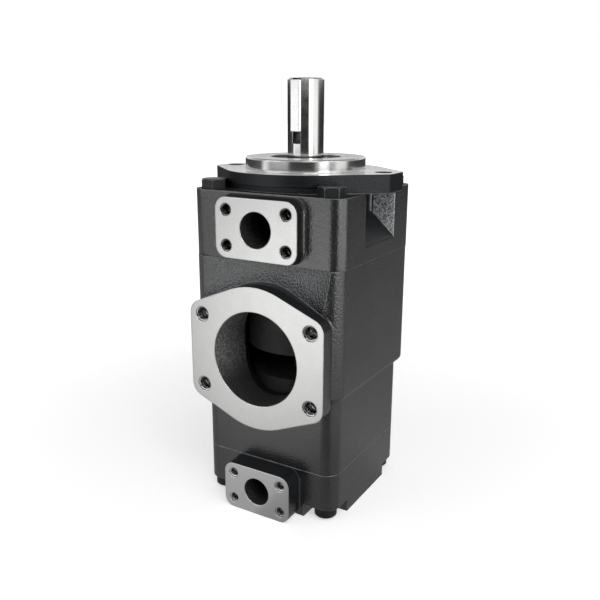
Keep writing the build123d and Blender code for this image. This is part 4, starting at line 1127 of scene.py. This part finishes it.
@dataclass(frozen=True)
class SoftBox:
    """A flat lamp that looks at the pump from an azimuth and an elevation, in degrees; sizes in metres."""

    name: str
    azimuth: float
    elevation: float
    distance: float
    width: float
    height: float
    brightness: float

    def hang(self, aim: Vector) -> Object:
        """Make the lamp.

        Args:
            aim: The point that it looks at.

        Returns:
            The lamp object.
        """
        lamp = bpy.data.lights.new(self.name, "AREA")
        lamp.shape = "RECTANGLE"
        lamp.size = self.width
        lamp.size_y = self.height
        lamp.energy = self.brightness * math.pi * self.width * self.height
        holder = place_object(self.name, lamp)
        back = heading(self.azimuth, self.elevation)
        holder.location = aim + back * self.distance
        holder.rotation_mode = "QUATERNION"
        holder.rotation_quaternion = (-back).to_track_quat("-Z", "Y")
        holder.visible_camera = False
        return holder


def heading(azimuth: float, elevation: float) -> Vector:
    """Unit vector towards an azimuth and elevation in degrees; azimuth 0 is -Y and 90 is +X."""
    a, e = math.radians(azimuth), math.radians(elevation)
    return Vector((math.sin(a) * math.cos(e), -math.cos(a) * math.cos(e), math.sin(e)))


@dataclass(frozen=True)
class Backdrop:
    """What bright metal sees round the pump.

    Each row has an azimuth in degrees and the glow at five stops of the way
    out. The rows describe white and black studio screens. The way out is the
    distance from the axis and the height over the datum together: along the
    floor and then up the wall, with its stops beside the pump, midway, on the
    open floor, at the foot of the wall and up the wall. Changes says where one
    gives way to the next, in metres.
    """

    rows: tuple[tuple[float, ...], ...] = (
        (-180.0, 0.28, 0.28, 0.24, 0.08, 0.04), (-100.0, 0.28, 0.34, 0.30, 0.08, 0.03),
        (-82.0, 0.30, 0.50, 0.50, 0.08, 0.06), (-60.0, 0.35, 0.55, 0.50, 0.16, 0.10),
        (-55.0, 0.38, 0.55, 0.45, 1.40, 0.12), (-50.0, 0.40, 0.55, 0.45, 1.40, 1.50),
        (-43.0, 0.42, 0.60, 0.35, 0.60, 1.55), (-39.2, 0.44, 0.95, 0.50, 0.26, 1.59),
        (-38.2, 0.45, 1.05, 1.42, 0.14, 1.60), (-37.0, 0.45, 1.15, 1.50, 0.10, 1.60),
        (-28.0, 0.50, 1.60, 2.00, 0.08, 1.60), (-4.0, 0.52, 1.45, 1.60, 0.08, 1.60),
        (1.0, 0.42, 0.20, 0.15, 0.07, 0.03), (46.0, 0.30, 0.12, 0.10, 0.07, 0.02),
        (52.0, 0.34, 0.75, 2.20, 0.10, 1.40), (82.0, 0.34, 0.75, 2.20, 0.16, 1.40),
        (92.0, 0.34, 0.75, 2.20, 1.20, 1.35), (108.0, 0.34, 0.75, 2.10, 1.20, 1.30),
        (118.0, 0.38, 0.46, 0.55, 0.12, 0.22), (132.0, 0.48, 0.34, 0.24, 0.08, 0.04),
        (180.0, 0.28, 0.28, 0.24, 0.08, 0.04))
    peak: float = 2.2
    changes: tuple[tuple[float, float], ...] = ((0.05, 0.75), (0.80, 1.50), (2.62, 2.67), (2.80, 2.88))
    datum: float = -0.385

    def tree(self) -> Tree:
        """Node group that gives the glow at a place.

        Returns:
            The group, with the position as input and the glow as output.
        """
        nodes, given, out = new_group("backdrop_glow", {"Position": VECTOR}, {"Glow": FLOAT})
        x, y, z = nodes.split(given["Position"])
        turn = nodes.math("ARCTAN2", x, nodes.math("MULTIPLY", y, -1.0))
        share = nodes.math("ADD", nodes.math("DIVIDE", turn, 2 * math.pi), 0.5)
        way = nodes.math("ADD", nodes.radius(given["Position"]), nodes.math("SUBTRACT", z, self.datum))
        tones = []
        for column in range(1, len(self.changes) + 2):
            ramp = nodes.add("ShaderNodeValToRGB", {0: share})
            while len(ramp.color_ramp.elements) < len(self.rows):
                ramp.color_ramp.elements.new(0.5)
            for element, row in zip(ramp.color_ramp.elements, self.rows):
                element.position = row[0] / 360 + 0.5
                element.color = grey(row[column] / self.peak)
            tones.append(ramp.outputs[0])
        glow = tones[0]
        for (start, end), tone in zip(self.changes, tones[1:]):
            glow = nodes.between(nodes.ramp(way, start, end), glow, tone)
        nodes.feed(out.inputs["Glow"], nodes.math("MULTIPLY", glow, self.peak))
        return nodes.tree


@dataclass(frozen=True)
class Screen:
    """A ring or disc of studio screen that only reflections see; metres.

    Tone is its brightness where no glow is given.
    """

    name: str
    radius: float
    low: float
    high: float
    steps: int = 96
    tone: float = 0.45

    def points(self) -> tuple[list[Place], list[tuple[int, ...]]]:
        """Points and faces: a wall, or a flat disc where both heights are the same.

        Returns:
            The points, and the corners of each face as numbers of points.
        """
        places = [heading(360.0 * i / self.steps, 0.0) * self.radius for i in range(self.steps)]
        if self.low == self.high:
            return [(p.x, p.y, self.low) for p in places], [tuple(range(self.steps))]
        low = [(p.x, p.y, self.low) for p in places]
        high = [(p.x, p.y, self.high) for p in places]
        following = [(i + 1) % self.steps for i in range(self.steps)]
        faces = [(i, j, j + self.steps, i + self.steps) for i, j in enumerate(following)]
        return low + high, faces

    def stand(self, glow: Tree | None) -> Object:
        """Make the screen as part of the stage.

        Args:
            glow: The group that gives its brightness, or None for a plain grey one.

        Returns:
            The screen object.
        """
        points, faces = self.points()
        mesh = bpy.data.meshes.new(self.name)
        mesh.from_pydata(points, [], faces)
        screen = place_object(self.name, mesh)
        material, nodes = new_material(self.name)
        strength = self.tone
        if glow is not None:
            strength = nodes.group(glow, Position=nodes.place()).outputs["Glow"]
        nodes.feed(nodes.tree.nodes["Material Output"].inputs[0], nodes.emission(strength))
        mesh.materials.append(material)
        screen.visible_camera = False
        screen.visible_diffuse = False
        screen.visible_shadow = False
        screen.visible_transmission = False
        screen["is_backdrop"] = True
        return screen


@dataclass
class Studio:
    """White floor, white surround, soft lamps, and the screens that metal reflects."""

    floor_level: float
    aim: Vector
    floor_size: float = 30.0
    backdrop: Backdrop = Backdrop()

    def lights(self) -> tuple[SoftBox, ...]:
        """Lamps of the room.

        Returns:
            The lamps.
        """
        return (
            SoftBox("key_lamp", 42.0, 44.0, 1.30, 0.55, 0.45, 5.0),
            SoftBox("left_lamp", -35.0, 30.0, 1.8, 1.0, 0.9, 1.3),
            SoftBox("right_lamp", 82.0, 26.0, 1.8, 1.0, 0.9, 1.6),
            SoftBox("low_lamp", 64.0, 10.0, 1.6, 0.5, 0.5, 3.0),
        )

    def screens(self) -> tuple[tuple[Screen, bool], ...]:
        """Screens of the room.

        Returns:
            The screens, and whether each one glows.
        """
        return (
            (Screen("wall_screen", 2.60, self.floor_level + MM, 0.19), True),
            (Screen("ceiling_screen", 2.5, 1.30, 1.30), False),
        )

    def world(self) -> None:
        """White to the eye and in reflections, softer as light."""
        world = bpy.data.worlds.new("white_room")
        bpy.context.scene.world = world
        world.use_nodes = True
        nodes = Nodes(world.node_tree)
        path = nodes.add("ShaderNodeLightPath")
        rays = ("Is Camera Ray", "Is Glossy Ray", "Is Transmission Ray")
        seen = nodes.math("MAXIMUM", *(path.outputs[ray] for ray in rays))
        strength = nodes.between(seen, 0.30, 1.0)
        back = world.node_tree.nodes["Background"]
        nodes.feed(back.inputs["Color"], WHITE)
        nodes.feed(back.inputs["Strength"], strength)

    def floor(self, glow: Tree) -> Object:
        """Pale floor that keeps the pump's shadow and fades into the white.

        Args:
            glow: The group that gives what metal sees of the floor.

        Returns:
            The floor object.
        """
        half = self.floor_size / 2
        mesh = bpy.data.meshes.new("floor")
        corners = [(x * half, y * half, self.floor_level) for x, y in ((-1, -1), (1, -1), (1, 1), (-1, 1))]
        mesh.from_pydata(corners, [], [(0, 1, 2, 3)])
        plane = place_object("floor", mesh)
        material, nodes = new_material("pale_floor")
        tree = nodes.tree
        tree.nodes.remove(tree.nodes["Principled BSDF"])
        path = nodes.add("ShaderNodeLightPath")
        place = nodes.place()
        matt = nodes.add("ShaderNodeBsdfDiffuse", {"Color": grey(0.80)})
        fade = nodes.ramp(nodes.radius(place), 0.15, 1.3, 0.55, 1.0)
        to_eye = nodes.emission(nodes.math("MULTIPLY", path.outputs["Is Camera Ray"], fade))
        both = nodes.add("ShaderNodeAddShader", {0: matt.outputs[0], 1: to_eye})
        mirrored = nodes.emission(nodes.group(glow, Position=place).outputs["Glow"])
        choice = nodes.add("ShaderNodeMixShader", {
            0: path.outputs["Is Glossy Ray"], 1: both.outputs[0], 2: mirrored})
        nodes.feed(tree.nodes["Material Output"].inputs[0], choice.outputs[0])
        mesh.materials.append(material)
        plane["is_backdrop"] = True
        return plane

    def build(self) -> list[str]:
        """Set the stage.

        Returns:
            Names of what was made.
        """
        self.world()
        glow = self.backdrop.tree()
        made = [self.floor(glow).name]
        made += [lamp.hang(self.aim).name for lamp in self.lights()]
        made += [screen.stand(glow if glows else None).name for screen, glows in self.screens()]
        return made


@dataclass(frozen=True)
class PhotoCamera:
    """The camera at the photograph's viewing angle; angles in degrees, position in metres."""

    lens: float = 42.105
    sensor: float = 36.0
    position: Place = (0.3810145, -0.6545865, 0.0632631)
    azimuth: float = 30.610
    elevation: float = 15.421
    roll: float = 0.193

    def build(self) -> Object:
        """Make the camera and look through it.

        Returns:
            The camera object.
        """
        data = bpy.data.cameras.new("camera")
        data.lens = self.lens
        data.sensor_width = self.sensor
        data.clip_start = 0.01
        data.clip_end = 100.0
        camera = place_object("camera", data)
        back = heading(self.azimuth, self.elevation)
        level = Vector((math.cos(math.radians(self.azimuth)), math.sin(math.radians(self.azimuth)), 0.0))
        rise = back.cross(level)
        roll = math.radians(self.roll)
        right = math.cos(roll) * level + math.sin(roll) * rise
        up = -math.sin(roll) * level + math.cos(roll) * rise
        turn = Matrix((right, up, back)).transposed().to_4x4()
        camera.matrix_world = Matrix.Translation(self.position) @ turn
        bpy.context.scene.camera = camera
        return camera


def main() -> None:
    """Build the pump's looks in order and report each piece."""
    logging.basicConfig(level=logging.INFO, format="%(message)s")
    cad_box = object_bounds()
    scene = bpy.context.scene
    scene.view_settings.view_transform = "Standard"
    log.info("camera: %s", PhotoCamera().build().name)
    low, high = cad_box
    aim = Vector((0.0, 0.0, (low.z + high.z) / 2))
    log.info("stage: %s", Studio(low.z, aim).build())
    effects = Effects()
    castings = Castings(effects, ThreadTree())
    for assembly in (castings, ShaftLine(effects), DriveKey(effects), Cartridges(effects)):
        for piece in assembly.build():
            log.info("%s: %s", type(assembly).__name__, piece)


if __name__ == "__main__":
    main()
